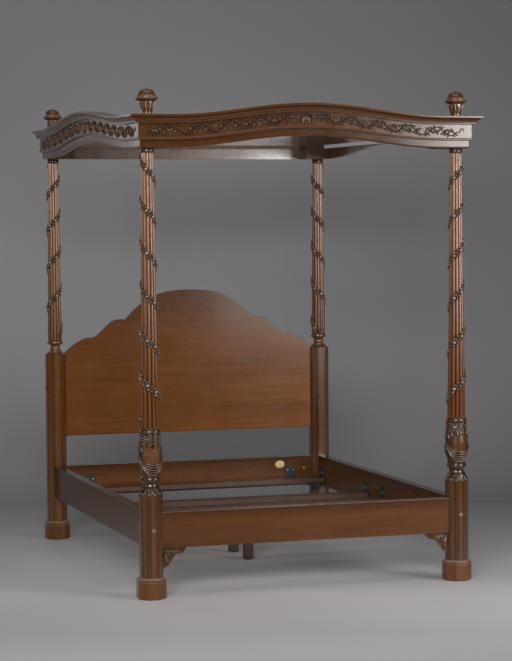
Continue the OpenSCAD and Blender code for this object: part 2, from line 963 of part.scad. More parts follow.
// A moulding along one side: the outline gives distance out from the post line and height. Both
// ends are mitred on the foot side; a side's far end is cut square over the head posts.
module swept(outline, half, square_end) {
    reach = arch_share * half;
    inner = [for (i = [0:arch_steps]) reach * (2 * i / arch_steps - 1)];
    function ring(x) = [for (p = outline) [x, -p[0], p[1] + hump(x, half)]];
    loft(concat(
        [[for (p = outline) [-(half + p[0]), -p[0], p[1]]]],
        [for (x = inner) ring(x)],
        [[for (p = outline) [half + (square_end ? board_out : p[0]), -p[0], p[1]]]]
    ));
}

// Puts a moulding made along the foot side on the foot, the right or the left side
module on_side(side) {
    if (side == "foot")
        translate([0, foot_y, 0])
            children();
    else
        mirror([side == "left" ? 1 : 0, 0, 0])
            translate([post_x, mid_y, 0])
                rotate([0, 0, 90])
                    children();
}

function side_half(side) = side == "foot" ? post_span_x / 2 : post_span_y / 2;

// The structural board, with a rounded lower edge
module tester_board(side) {
    outline = [
        [board_in, tester_bottom], [board_out - 5, tester_bottom], [board_out - 1, tester_bottom + 3],
        [board_out, tester_bottom + 9], [board_out, tester_top], [board_in, tester_top]
    ];
    color(wood)
        on_side(side)
            swept(outline, side_half(side), side != "foot");
}

// The carved frieze, with a bead along its foot
module frieze(side) {
    z = tester_bottom;
    outline = [
        [board_out, z + 37], [frieze_out + 3, z + 37], [frieze_out + 6, z + 40], [frieze_out + 6, z + 45],
        [frieze_out + 3, z + 48], [frieze_out, z + 48], [frieze_out, z + 117], [board_out, z + 117]
    ];
    color(wood)
        on_side(side)
            swept(outline, side_half(side), side != "foot");
}

// The crown moulding: a fillet, a hollow that sweeps out, and a flat upper edge
module crown(side) {
    z = tester_bottom;
    hollow = bow([frieze_out + 18, z + 128], [crown_out - 9, z + 144], 3, 4);
    outline = concat(
        [[board_out, tester_top], [board_out, z + 117], [frieze_out + 15, z + 117]],
        [[frieze_out + 19, z + 120], [frieze_out + 19, z + 125]],
        hollow,
        [[crown_out - 4, z + 146], [crown_out, z + 149], [crown_out, tester_top]]
    );
    color(wood)
        on_side(side)
            swept(outline, side_half(side), side != "foot");
}

module tester_board_head() {
    half = post_x + board_in;
    color(wood)
        translate([-half, head_y + board_in, tester_bottom])
            cube([2 * half, board_out - board_in, tester_h]);
}

// The strips inside the tester, between the corner blocks
module ledger_strips() {
    strip_t = 20;
    strip_h = 20;
    strip_z = tester_bottom + tester_rise;
    run_x = post_x - block_reach;
    run_y = post_span_y / 2 - block_reach;
    color(pale_wood) {
        for (y = [foot_y - board_in, head_y + board_in - strip_t])
            translate([-run_x, y, strip_z])
                cube([2 * run_x, strip_t, strip_h]);
        for (x = [-post_x - board_in, post_x + board_in - strip_t])
            translate([x, mid_y - run_y, strip_z])
                cube([strip_t, 2 * run_y, strip_h]);
    }
}

// ---------------------------------------------------------------- nodes

// Each vine: turning sense, height of its first turn, first pitch, growth of the pitch, and the
// direction that the first turn faces, before the left-handed ones are mirrored
vine_foot_left = [-1, 2070, 198, 2, 105];
vine_foot_right = [1, 2036, 184, 5.5, -113];
vine_head_left = [1, 2016, 192, 6, -102];
vine_head_right = [-1, 2016, 186, 7, 109];

plinth(-1, foot_y);  // plinth_foot_left
plinth(1, foot_y);  // plinth_foot_right
plinth(-1, head_y);  // plinth_head_left
plinth(1, head_y);  // plinth_head_right
foot_post(-1);  // post_foot_left
foot_post(1);  // post_foot_right
head_post(-1);  // post_head_left
head_post(1);  // post_head_right
foot_shaft(-1, vine_foot_left);  // shaft_foot_left
foot_shaft(1, vine_foot_right);  // shaft_foot_right
head_shaft(-1, vine_head_left);  // shaft_head_left
head_shaft(1, vine_head_right);  // shaft_head_right
post_studs();
tester_pins();
finial(-1, foot_y);  // finial_foot_left
finial(1, foot_y);  // finial_foot_right
finial(-1, head_y);  // finial_head_left
finial(1, head_y);  // finial_head_right
rail_foot();
rail_head();
side_rail(-1);  // rail_left
side_rail(1);  // rail_right
knee(-1);  // knee_left
knee(1);  // knee_right
headboard();
bed_bolts();
barrel_nuts();
bolt_covers();
slat(slat_ys[0], false);  // slat_foot
slat(slat_ys[1], true);  // slat_middle_foot
slat(slat_ys[2], true);  // slat_middle_head
slat(slat_ys[3], false);  // slat_head
leg(slat_ys[1]);  // leg_foot
leg(slat_ys[2]);  // leg_head
leg_studs();
leg_glides();
hangers_side(-1);  // hangers_left
hangers_side(1);  // hangers_right
hangers_end(-1);  // hangers_foot
hangers_end(1);  // hangers_head
hanger_screws();
medallion();
corner_blocks();
tester_board("foot");  // tester_board_foot
tester_board("left");  // tester_board_left
tester_board("right");  // tester_board_right
tester_board_head();
frieze("foot");  // frieze_foot
frieze("left");  // frieze_left
frieze("right");  // frieze_right
crown("foot");  // crown_foot
crown("left");  // crown_left
crown("right");  // crown_right
ledger_strips();
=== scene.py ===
import math
import random

import bmesh
import bpy
from mathutils import Matrix, Vector


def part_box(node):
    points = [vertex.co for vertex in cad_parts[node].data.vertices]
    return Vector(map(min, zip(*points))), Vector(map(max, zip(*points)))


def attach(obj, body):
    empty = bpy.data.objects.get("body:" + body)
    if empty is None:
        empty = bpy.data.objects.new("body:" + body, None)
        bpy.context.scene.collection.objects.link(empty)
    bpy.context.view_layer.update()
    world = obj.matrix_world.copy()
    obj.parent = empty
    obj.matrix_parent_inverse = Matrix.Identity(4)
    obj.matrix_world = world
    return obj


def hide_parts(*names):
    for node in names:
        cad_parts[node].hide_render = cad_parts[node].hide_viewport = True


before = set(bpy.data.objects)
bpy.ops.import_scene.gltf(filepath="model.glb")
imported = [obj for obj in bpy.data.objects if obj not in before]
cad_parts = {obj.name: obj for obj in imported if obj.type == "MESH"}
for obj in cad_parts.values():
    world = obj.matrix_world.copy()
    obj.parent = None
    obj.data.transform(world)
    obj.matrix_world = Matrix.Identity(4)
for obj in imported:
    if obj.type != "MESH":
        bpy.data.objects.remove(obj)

# Blender's own starting objects
for leftover in ("Cube", "Camera", "Light"):
    if leftover in bpy.data.objects:
        bpy.data.objects.remove(bpy.data.objects[leftover])
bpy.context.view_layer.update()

# ---------------------------------------- sizes, in metres, as in the part

POST_X = 0.8
FOOT_Y = -1.0305
HEAD_Y = 1.0695
MID_Y = 0.0195
HALF_X = POST_X
HALF_Y = 1.05
HALF_BLOCK = 0.054
RAIL_BOTTOM = 0.244
RAIL_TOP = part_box("rail_foot")[1][2]
FOOT_SHAFT_BASE = 0.820
HEAD_SHAFT_BASE = 1.138
TESTER_BOTTOM = 2.178
SHAFT_TOP = TESTER_BOTTOM - 0.022
BOARD_IN = 0.025
BOARD_OUT = 0.050
FRIEZE_OUT = 0.061
CROWN_OUT = 0.107
TESTER_RISE = 0.060
ARCH_SHARE = 0.88
REEDS = 12

# Heights up a shaft and the radius over the reeds there
FOOT_TAPER = [
    (FOOT_SHAFT_BASE, 0.0465), (1.014, 0.0435), (1.165, 0.0405), (1.417, 0.0365), (1.790, 0.0335),
    (2.165, 0.031),
]
HEAD_TAPER = [(HEAD_SHAFT_BASE, 0.040), (1.417, 0.036), (1.790, 0.0335), (2.165, 0.0305)]
# Turning sense, height of the first turn, first pitch, growth of the pitch, direction it faces
VINES = {
    "foot_left": (-1, 2.070, 0.198, 0.002, 105),
    "foot_right": (1, 2.036, 0.184, 0.0055, -113),
    "head_left": (1, 2.016, 0.192, 0.006, -102),
    "head_right": (-1, 2.016, 0.186, 0.007, 109),
}


def lookup(table, z):
    """The radius at a height, from a table of heights and radii."""
    if z <= table[0][0]:
        return table[0][1]
    for (z0, r0), (z1, r1) in zip(table, table[1:]):
        if z <= z1:
            return r0 + (r1 - r0) * (z - z0) / (z1 - z0)
    return table[-1][1]


def smooth(t):
    t = max(0.0, min(1.0, t))
    return t * t * (3 - 2 * t)


def hump(x, half):
    """How much the cornice has risen at a distance from the middle of a side."""
    reach = ARCH_SHARE * half
    return 0.0 if abs(x) >= reach else TESTER_RISE * (1 + math.cos(math.pi * x / reach)) / 2


# ---------------------------------------- materials


class Mat:
    """A material under construction: a principled shader and short names for adding nodes."""

    def __init__(self, name, **values):
        self.mat = bpy.data.materials.new(name)
        self.mat.use_nodes = True
        self.tree = self.mat.node_tree
        self.tree.nodes.clear()
        self.out = self.tree.nodes.new("ShaderNodeOutputMaterial")
        self.shader = self.tree.nodes.new("ShaderNodeBsdfPrincipled")
        self.tree.links.new(self.shader.outputs["BSDF"], self.out.inputs["Surface"])
        for key, value in values.items():
            self.shader.inputs[key.replace("_", " ")].default_value = value

    def node(self, kind, inputs=None, **attributes):
        n = self.tree.nodes.new("ShaderNode" + kind)
        for key, value in attributes.items():
            setattr(n, key, value)
        for key, value in (inputs or {}).items():
            if hasattr(value, "is_output"):
                self.tree.links.new(value, n.inputs[key])
            else:
                n.inputs[key].default_value = value
        return n

    def coords(self, scale=(1, 1, 1), offset=(0, 0, 0)):
        tex = self.node("TexCoord")
        return self.node(
            "Mapping", {"Vector": tex.outputs["Object"], "Scale": scale, "Location": offset}
        ).outputs["Vector"]

    def noise(self, scale, detail=3.0, vector=None, rough=0.5, distortion=0.0):
        ins = {"Scale": scale, "Detail": detail, "Roughness": rough, "Distortion": distortion}
        if vector is not None:
            ins["Vector"] = vector
        return self.node("TexNoise", ins).outputs["Fac"]

    def ramp(self, fac, stops):
        n = self.node("ValToRGB", {"Fac": fac})
        while len(n.color_ramp.elements) < len(stops):
            n.color_ramp.elements.new(0.5)
        for e, (at, colour) in zip(n.color_ramp.elements, stops):
            e.position = at
            e.color = (*colour, 1)
        return n.outputs["Color"]

    def spread(self, fac, lo, hi, to_lo, to_hi):
        return self.node(
            "MapRange", {"Value": fac, "From Min": lo, "From Max": hi, "To Min": to_lo, "To Max": to_hi}
        ).outputs["Result"]

    def mix(self, fac, a, b):
        n = self.node("Mix", data_type="RGBA")
        for at, value in ((0, fac), (6, a), (7, b)):
            if hasattr(value, "is_output"):
                self.tree.links.new(value, n.inputs[at])
            else:
                n.inputs[at].default_value = value if at == 0 else (*value, 1)
        return n.outputs[2]

    def scaled(self, colour, share):
        return self.node("VectorMath", {0: colour, "Scale": share}, operation="SCALE").outputs["Vector"]

    def along(self, direction):
        """Distance along a level direction, in metres."""
        where = self.node("TexCoord").outputs["Object"]
        n = self.node("VectorMath", {0: where, 1: tuple(direction)}, operation="DOT_PRODUCT")
        return n.outputs["Value"]

    def place(self, axis):
        return self.node("SeparateXYZ", {"Vector": self.node("TexCoord").outputs["Object"]}).outputs[axis]

    def facing_up(self):
        return self.node("SeparateXYZ", {"Vector": self.node("NewGeometry").outputs["Normal"]}).outputs["Z"]

    def at_edge(self, bevel, lo, hi, most):
        """most on a rounded edge and 0 on a flat, from how far the bevel turns the normal."""
        flat = self.node("NewGeometry").outputs["Normal"]
        turned = self.node("VectorMath", {0: bevel.outputs["Normal"], 1: flat}, operation="DOT_PRODUCT")
        return self.spread(turned.outputs["Value"], lo, hi, most, 0.0)

    def math(self, op, a, b=0.0):
        n = self.node("Math", operation=op)
        for at, value in enumerate((a, b)):
            if hasattr(value, "is_output"):
                self.tree.links.new(value, n.inputs[at])
            else:
                n.inputs[at].default_value = value
        return n.outputs[0]

    def set(self, name, output):
        self.tree.links.new(output, self.shader.inputs[name])


# Grain is drawn out along the wood's axis
GRAIN_SCALES = {"x": (0.06, 1, 1), "y": (1, 0.06, 1), "z": (1, 1, 0.06)}
OCTAGON_TURN = math.pi / 4
# Heights at which the dark bands on the foot and head blocks end
FOOT_BANDS_TOP = 0.512
HEAD_BANDS_TOP = 1.07


def corner_bands(m):
    """Darker bands: 1 near each corner of the octagonal blocks, 0 on flats and above."""
    split = m.node("SeparateXYZ", {"Vector": m.node("TexCoord").outputs["Object"]})

    def apart(a, b):
        return m.math("ABSOLUTE", m.math("SUBTRACT", a, b))

    dx = apart(m.math("ABSOLUTE", split.outputs["X"]), POST_X)
    dy = apart(apart(split.outputs["Y"], MID_Y), HALF_Y)
    turn = apart(m.math("ARCTAN2", dy, dx), OCTAGON_TURN)
    off_corner = apart(turn, OCTAGON_TURN / 2)
    limit = m.spread(split.outputs["Y"], -0.1, 0.1, FOOT_BANDS_TOP, HEAD_BANDS_TOP)
    on_block = m.math("LESS_THAN", split.outputs["Z"], limit)
    return m.math("MULTIPLY", m.spread(off_corner, 0.09, 0.21, 1.0, 0.0), on_block)


# Pale colour of the carving's high points: rubbing and a painted highlight
RUBBED_HIGHLIGHT = (0.42, 0.27, 0.19)
# Share of the colour left in a dark band, and share of the painted sheen on an upward slope
BAND_SHARE = 0.62
TOP_SHEEN_SHARE = 0.36
# Openness at which the painted shade of a hollow is darkest, and rise at which the carving's pale rubbing and
# painted highlight are strongest
HOLLOW_SHADE_FROM = 0.30
RUB_AND_HIGHLIGHT_TO = 0.97
# The plinth's edges are paled, as wear and as a painted highlight, above this height
PLINTH_WEAR_AND_HIGHLIGHT_ABOVE = 0.098


def wood(
    name, axis, dark, mid, light, rough=0.16, seed=0, streak=0.38, coat=0.2, coat_ior=1.5, specular=0.5,
    edge=0.0025, wear=0.45, edge_tone=2.4, edge_colour=None, wear_and_highlight_above=None, carved=0.0, open_at=0.95,
    hollow_shade_tone=0.16, rub_and_highlight=0.0, rub_and_highlight_from=0.62, painted_top_shade=1.0, fade=None, painted_top_sheen=None, banded=False,
    at_head=None,
):
    """Polished wood with grain along an axis: broad figure, streaks, pores, and edges paled as wear and
    painted highlight.

    edge and wear round and colour the arrises, as wear and as a painted highlight, above
    wear_and_highlight_above only if that is given; an edge tone under 1 darkens them instead. carved is how
    far the painted shade of hollows reaches. rub_and_highlight pales the carving's high points, as rubbing
    and as a painted highlight. painted_top_shade darkens upward faces as painted shade, fade=(z0, z1, share)
    scales the colour from z0 up to z1 as painted light and shade by height, and painted_top_sheen colours
    upward slopes with a painted sheen.
    at_head is the colour of what lies against the head board.
    """
    m = Mat(
        name, Roughness=rough, Coat_Weight=coat, Coat_Roughness=0.14, Coat_IOR=coat_ior,
        Specular_IOR_Level=specular,
    )
    plain = m.coords()
    v = m.coords(GRAIN_SCALES[axis], (seed * 1.7, seed * 0.9, seed * 1.3))
    figure = m.noise(5.0, 3.0, v, 0.55, 0.6)
    streaks = m.noise(60.0, 4.0, v, 0.6, 0.25)
    pores = m.noise(620.0, 2.0, v, 0.7)
    blotch = m.noise(2.2, 2.0, m.coords((1, 1, 1), (seed, 0, 2)), 0.5)
    tone = m.math("ADD", m.math("MULTIPLY", figure, 0.45), m.math("MULTIPLY", streaks, streak))
    tone = m.math("ADD", tone, m.math("MULTIPLY", blotch, 0.17))
    colour = m.ramp(tone, [(0.32, dark), (0.5, mid), (0.68, light)])
    pore_mask = m.spread(pores, 0.36, 0.47, 1.0, 0.0)
    colour = m.mix(m.math("MULTIPLY", pore_mask, 0.30), colour, tuple(c * 0.5 for c in dark))
    # hollows darkened by ambient occlusion: painted shade
    if carved:
        open_share = m.node("AmbientOcclusion", {"Distance": carved}, samples=8).outputs["AO"]
        hollow = m.spread(open_share, HOLLOW_SHADE_FROM, open_at, 0.95, 0.0)
        colour = m.mix(hollow, colour, tuple(c * hollow_shade_tone for c in dark))
    # edges paled as wear and as a painted highlight; an edge tone under 1 darkens them instead
    bevel = m.node("Bevel", {"Radius": edge}, samples=4)
    wear_and_light = m.at_edge(bevel, 0.80, 0.995, wear)
    if wear_and_highlight_above is not None:
        wear_and_light = m.math("MULTIPLY", wear_and_light, m.spread(m.place("Z"), wear_and_highlight_above - 0.002, wear_and_highlight_above, 0.1, 1.0))
    # colour scaled with height: painted light and shade
    if fade is not None:
        low, high, share = fade
        colour = m.mix(m.spread(m.place("Z"), low, high, 0.0, 1.0), colour, m.scaled(colour, share))
    # darker bands along the blocks' corners
    if banded:
        colour = m.mix(corner_bands(m), colour, m.scaled(colour, BAND_SHARE))
    if edge_colour is None:
        lift = 0.02 if edge_tone > 1 else 0.0
        edge_colour = tuple(min(1.0, c * edge_tone + lift) for c in light)
    colour = m.mix(wear_and_light, colour, edge_colour)
    # the carving's high points paled as rubbing and as a painted highlight
    if rub_and_highlight:
        rise = m.node("Attribute", attribute_name="rise").outputs["Fac"]
        patchy = m.spread(m.noise(55.0, 2.0, plain, 0.5), 0.35, 0.6, 0.45, 1.0)
        colour = m.mix(m.math("MULTIPLY", m.spread(rise, rub_and_highlight_from, RUB_AND_HIGHLIGHT_TO, 0.0, rub_and_highlight), patchy), colour, RUBBED_HIGHLIGHT)
    # upward slopes paled: a painted sheen
    if painted_top_sheen is not None:
        colour = m.mix(m.spread(m.facing_up(), 0.15, 0.5, 0.0, TOP_SHEEN_SHARE), colour, painted_top_sheen)
    # upward faces darkened: painted shade
    if painted_top_shade < 1:
        colour = m.mix(m.spread(m.facing_up(), 0.90, 0.98, 0.0, 1.0), colour, m.scaled(colour, painted_top_shade))
    if at_head is not None:
        colour = m.mix(m.math("GREATER_THAN", m.place("Y"), HEAD_Y - 0.02), colour, at_head)
    m.set("Base Color", colour)
    smudge = m.spread(m.noise(9.0, 4.0, plain, 0.6), 0.3, 0.7, rough - 0.02, rough + 0.05)
    m.set("Roughness", m.math("ADD", smudge, m.math("MULTIPLY", pore_mask, 0.12)))
    relief = m.math("SUBTRACT", m.math("MULTIPLY", streaks, 0.35), m.math("MULTIPLY", pore_mask, 0.5))
    bump = m.node(
        "Bump", {"Strength": 0.25, "Distance": 0.0004, "Height": relief, "Normal": bevel.outputs["Normal"]}
    )
    m.set("Normal", bump.outputs["Normal"])
    return m.mat


MAHOGANY = ((0.075, 0.0235, 0.0050), (0.130, 0.0440, 0.0092), (0.185, 0.0680, 0.0150))
DARK = ((0.026, 0.009, 0.0038), (0.055, 0.020, 0.0070), (0.090, 0.034, 0.012))
SLATS = ((0.035, 0.015, 0.007), (0.064, 0.029, 0.014), (0.098, 0.048, 0.026))
PALE = ((0.42, 0.39, 0.40), (0.60, 0.57, 0.59), (0.74, 0.71, 0.74))


def shade(palette, share):
    return tuple(tuple(c * share for c in colour) for colour in palette)


RAIL = shade(MAHOGANY, 0.74)
TESTER = shade(MAHOGANY, 0.60)
# Head board: edges darkened, and the colour darker towards the top as painted shade
panel_wood = wood(
    "mahogany_panel", "x", *shade(MAHOGANY, 1.34), rough=0.16, seed=4, coat=0.0, specular=0.42, streak=0.24,
    edge=0.009, wear=1.5, edge_tone=0.25, fade=(0.95, 1.40, 0.52),
)
# Tester mouldings: arrises paled as wear and as a painted highlight
ARRIS = {"edge": 0.0026, "wear": 1.5, "edge_tone": 4.2, "coat": 0.2}
# Rails: the top edge paled as wear and as a painted highlight, upward faces darker as painted shade, and the
# face darker towards its top
RAIL_EDGE = {
    "edge": 0.0030, "wear": 2.4, "edge_colour": (0.46, 0.35, 0.29), "wear_and_highlight_above": RAIL_TOP - 0.006,
    "coat": 0.05, "painted_top_shade": 0.55, "fade": (RAIL_TOP - 0.060, RAIL_TOP - 0.008, 0.55),
}
# The long rails' copy is toned darker than the end rails': painted shade for how the lamps fall on each side
rail_x = wood("mahogany_rail_x", "x", *shade(RAIL, 1.04), seed=1, **RAIL_EDGE)
rail_y = wood("mahogany_rail_y", "y", *shade(RAIL, 0.84), seed=2, specular=0.34, **RAIL_EDGE)
# Posts: the blocks darker in bands along their corners
post_wood = wood(
    "mahogany_post", "z", shade([MAHOGANY[0]], 0.35)[0], *shade(MAHOGANY[1:], 0.71), rough=0.2, seed=3,
    wear=0.6, edge=0.004, coat=0.3, edge_tone=0.6, streak=0.5, banded=True,
)
# Plinth: top edges paled as wear and as a painted highlight, and upward slopes given a painted sheen
plinth_wood = wood(
    "mahogany_plinth", "z", *shade(MAHOGANY, 0.95), rough=0.2, seed=17, edge=0.0026, wear=2.2,
    edge_colour=(0.44, 0.33, 0.28), coat=0.1, wear_and_highlight_above=PLINTH_WEAR_AND_HIGHLIGHT_ABOVE, painted_top_sheen=(0.34, 0.26, 0.225),
)
# Reeds: painted shade in their grooves, crests paled as rubbing and as a painted highlight, and painted light
# growing towards the top
reed_wood = wood(
    "mahogany_reeds", "z", *MAHOGANY, rough=0.12, seed=18, wear=0.0, carved=0.013, coat=0.3,
    open_at=1.0, rub_and_highlight=1.0, rub_and_highlight_from=0.44, fade=(1.15, 2.0, 1.62),
)
# Painted shade in hollows and under the mouldings' overhangs
SHADED = {"carved": 0.034, "open_at": 0.93, "hollow_shade_tone": 0.35}
# The long sides' copy is toned lighter than the foot's: painted light for how the lamps fall on each side
tester_x = wood("mahogany_tester_x", "x", *shade(TESTER, 0.95), seed=13, **ARRIS, **SHADED)
tester_y = wood("mahogany_tester_y", "y", *shade(TESTER, 1.25), seed=14, **ARRIS, **SHADED)
inner_board = wood("mahogany_inner_board", "x", *TESTER, rough=0.26, seed=15, coat=0.9, specular=0.9)
# Frieze grounds: painted shade under the crown and round the carving, and bead edges paled as wear and as a
# painted highlight
GROUND_WOOD = {
    "rough": 0.18, "carved": 0.03, "open_at": 0.97, "coat": 0.32, "wear": 1.3,
    "edge_colour": (0.42, 0.31, 0.25),
}
# The long sides' frieze is toned lighter than the foot's: painted light for how the lamps fall on each side
frieze_x = wood("mahogany_frieze_x", "x", *shade(TESTER, 1.12), seed=19, **GROUND_WOOD)
frieze_y = wood("mahogany_frieze_y", "y", *shade(TESTER, 1.2), seed=20, **GROUND_WOOD)
# Carving and turned rings: painted shade in their gaps, and high points paled as rubbing and as a painted
# highlight
GLOSSY = {"rough": 0.2, "edge": 0.001, "wear": 0.2, "coat": 0.45, "open_at": 1.0}
SCROLLS = {"carved": 0.010, "rub_and_highlight": 0.85, "rub_and_highlight_from": 0.74, **GLOSSY}
vine_wood = wood(
    "mahogany_vines", "z", *shade(MAHOGANY, 0.50), seed=5, carved=0.012, rub_and_highlight=1.0, rub_and_highlight_from=0.66, **GLOSSY
)
carved_z = wood(
    "mahogany_vase_leaves", "z", *shade(MAHOGANY, 0.24), seed=22, carved=0.008, rub_and_highlight=0.60, rub_and_highlight_from=0.85,
    **GLOSSY,
)
carved_x = wood("mahogany_carved_x", "x", *shade(TESTER, 0.95), seed=6, **SCROLLS)
carved_y = wood("mahogany_carved_y", "y", *TESTER, seed=7, **SCROLLS)
ring_wood = wood(
    "mahogany_dark_rings", "z", *shade(MAHOGANY, 0.37), rough=0.2, seed=24, carved=0.010, coat=0.6, wear=0.2
)
knee_wood = wood(
    "mahogany_knee_leaves", "x", *shade(MAHOGANY, 0.42), rough=0.2, seed=23, carved=0.010, rub_and_highlight=0.06, coat=0.8
)
# Finials: edges paled as wear and as a painted highlight, and painted shade in their hollows
finial_wood = wood(
    "mahogany_finials", "z", *shade(MAHOGANY, 0.66), rough=0.18, seed=21, carved=0.016, coat=0.9, wear=1.5,
    edge_colour=(0.55, 0.40, 0.32), edge=0.0022,
)
cover_wood = wood(
    "mahogany_bolt_covers", "z", *shade(MAHOGANY, 0.9), rough=0.22, seed=8, coat=1.0, coat_ior=1.8
)
# Corner blocks: dark wood, kept dark as painted shade of the tester's inner corners
block_wood = wood("dark_corner_blocks", "z", *shade(DARK, 0.9), rough=0.5, seed=16, coat=0.1, specular=0.3)
slat_wood = wood("slat_wood_x", "x", *SLATS, rough=0.45, seed=9, coat=0.05)
leg_wood = wood("leg_wood", "z", *SLATS, rough=0.45, seed=10, coat=0.05)


def metal(name, colour, rough, metallic, scratch=0.12, wear=None):
    """Metal or plastic: mottled, finely scratched, its edges turned by wear to the colour wear."""
    m = Mat(name, Metallic=metallic, Roughness=rough)
    mottled = m.noise(30.0, 5.0, m.coords(), 0.6)
    fine = m.noise(400.0, 3.0, m.coords((1, 1, 0.2)), 0.6)
    low, high = tuple(c * 0.7 for c in colour), tuple(min(1, c * 1.2) for c in colour)
    tone = m.ramp(mottled, [(0.3, low), (0.7, high)])
    if wear is not None:
        bevel = m.node("Bevel", {"Radius": 0.0015}, samples=4)
        edge = m.math("MULTIPLY", m.at_edge(bevel, 0.8, 0.99, 1.0), m.spread(mottled, 0.4, 0.6, 0.2, 1.0))
        tone = m.mix(edge, tone, wear)
    m.set("Base Color", tone)
    m.set("Roughness", m.spread(fine, 0.3, 0.7, rough - scratch / 2, rough + scratch))
    bump = m.node("Bump", {"Strength": 0.15, "Distance": 0.0002, "Height": fine})
    m.set("Normal", bump.outputs["Normal"])
    return m.mat


black_steel = metal("black_steel", (0.018, 0.018, 0.019), 0.38, 0.0, wear=(0.10, 0.10, 0.10))
bright_steel = metal("bright_steel", (0.52, 0.52, 0.53), 0.33, 1.0)
brass = metal("polished_brass", (0.66, 0.53, 0.25), 0.30, 0.5, 0.06)
# Ledger strips: pale wood, its colour raised paler and bluer as painted light
strip_wood = wood(
    "sawn_ledger_strips", "y", *PALE, rough=0.6, seed=11, coat=0.0, wear=0.2, at_head=(0.11, 0.055, 0.030)
)
glide = metal("glide_plastic", (0.02, 0.02, 0.021), 0.55, 0.0, 0.08)


# The start of a node's name and its material; the posts' wood is for all others
NODE_MATERIALS = (
    ("bolt_covers", cover_wood), ("corner_blocks", block_wood), ("finial_", finial_wood),
    ("plinth_", plinth_wood), ("slat_", slat_wood), ("leg_foot", leg_wood), ("leg_head", leg_wood),
    ("ledger_strips", strip_wood), ("hangers_", black_steel), ("leg_glides", glide), ("medallion", brass),
    ("headboard", panel_wood), ("rail_left", rail_y), ("rail_right", rail_y), ("rail_foot", rail_x),
    ("rail_head", rail_x), ("knee_", rail_x), ("tester_board_head", inner_board),
    ("post_studs", bright_steel), ("tester_pins", bright_steel), ("bed_bolts", bright_steel),
    ("barrel_nuts", bright_steel), ("leg_studs", bright_steel), ("hanger_screws", bright_steel),
)
for node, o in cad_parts.items():
    material = next((m for start, m in NODE_MATERIALS if node.startswith(start)), post_wood)
    for s in o.material_slots:
        s.material = material

# ---------------------------------------- mesh building


def solid(name, verts, faces, material, angle, replaces=(), rise=None):
    """A smooth-shaded closed piece of the bed; rise tells the material the carving's high points, which it
    pales as rubbing and as a painted highlight.
    """
    mesh = bpy.data.meshes.new(name)
    mesh.from_pydata([tuple(v) for v in verts], [], faces)
    bm = bmesh.new()
    bm.from_mesh(mesh)
    bmesh.ops.recalc_face_normals(bm, faces=bm.faces)
    bm.to_mesh(mesh)
    bm.free()
    if rise:
        mesh.attributes.new("rise", "FLOAT", "POINT").data.foreach_set("value", rise)
    mesh.shade_smooth()
    mesh.set_sharp_from_angle(angle=math.radians(angle))
    mesh.materials.append(material)
    o = bpy.data.objects.new(name, mesh)
    bpy.context.scene.collection.objects.link(o)
    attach(o, "bed")
    if replaces:
        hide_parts(*replaces)
    return o


def loft_faces(rings, n, base=0):
    """Faces through rings of n points each, the ends closed by fans about an extra centre point."""
    faces = []
    for k in range(rings - 1):
        for i in range(n):
            a, b = base + k * n + i, base + k * n + (i + 1) % n
            faces.append((a, b, b + n, a + n))
    start, end = base + rings * n, base + rings * n + 1
    for i in range(n):
        faces.append((start, base + (i + 1) % n, base + i))
        faces.append((end, base + (rings - 1) * n + i, base + (rings - 1) * n + (i + 1) % n))
    return faces


def centre(ring):
    return tuple(sum(p[i] for p in ring) / len(ring) for i in range(3))


def loft(rings):
    verts = [p for ring in rings for p in ring]
    verts += [centre(rings[0]), centre(rings[-1])]
    return verts, loft_faces(len(rings), len(rings[0]))


# ---------------------------------------- tester mouldings

MOULDING_STEPS = 112


def bow(p, q, sag, n=6):
    """A line between two points that bows to its left, as in the part."""
    dx, dy = q[0] - p[0], q[1] - p[1]
    length = math.hypot(dx, dy)
    side = (-dy / length, dx / length)
    return [
        (p[0] + dx * t + side[0] * sag * 4 * t * (1 - t), p[1] + dy * t + side[1] * sag * 4 * t * (1 - t))
        for t in (i / n for i in range(n + 1))
    ]


def side_point(side, x, out, z):
    """A point on one side of the tester: x along from its middle, out from the post line."""
    if side == "foot":
        return (x, FOOT_Y - out, z)
    sign = -1 if side == "left" else 1
    return (sign * (POST_X + out), MID_Y + x, z)


def moulding(name, outline, side, material, node):
    """An outline drawn along one side of the tester, in place of a node, mitred at the foot corners."""
    half = HALF_X if side == "foot" else HALF_Y
    reach = ARCH_SHARE * half
    stations = [reach * (2 * i / MOULDING_STEPS - 1) for i in range(MOULDING_STEPS + 1)]
    rings = [[side_point(side, -(half + out), out, z) for out, z in outline]]
    rings += [[side_point(side, x, out, z + hump(x, half)) for out, z in outline] for x in stations]
    rings += [[side_point(side, half + (out if side == "foot" else BOARD_OUT), out, z) for out, z in outline]]
    verts, faces = loft(rings)
    return solid(name, verts, faces, material, 28, replaces=(node,))


def z_up(points):
    return [(a, TESTER_BOTTOM + b) for a, b in points]


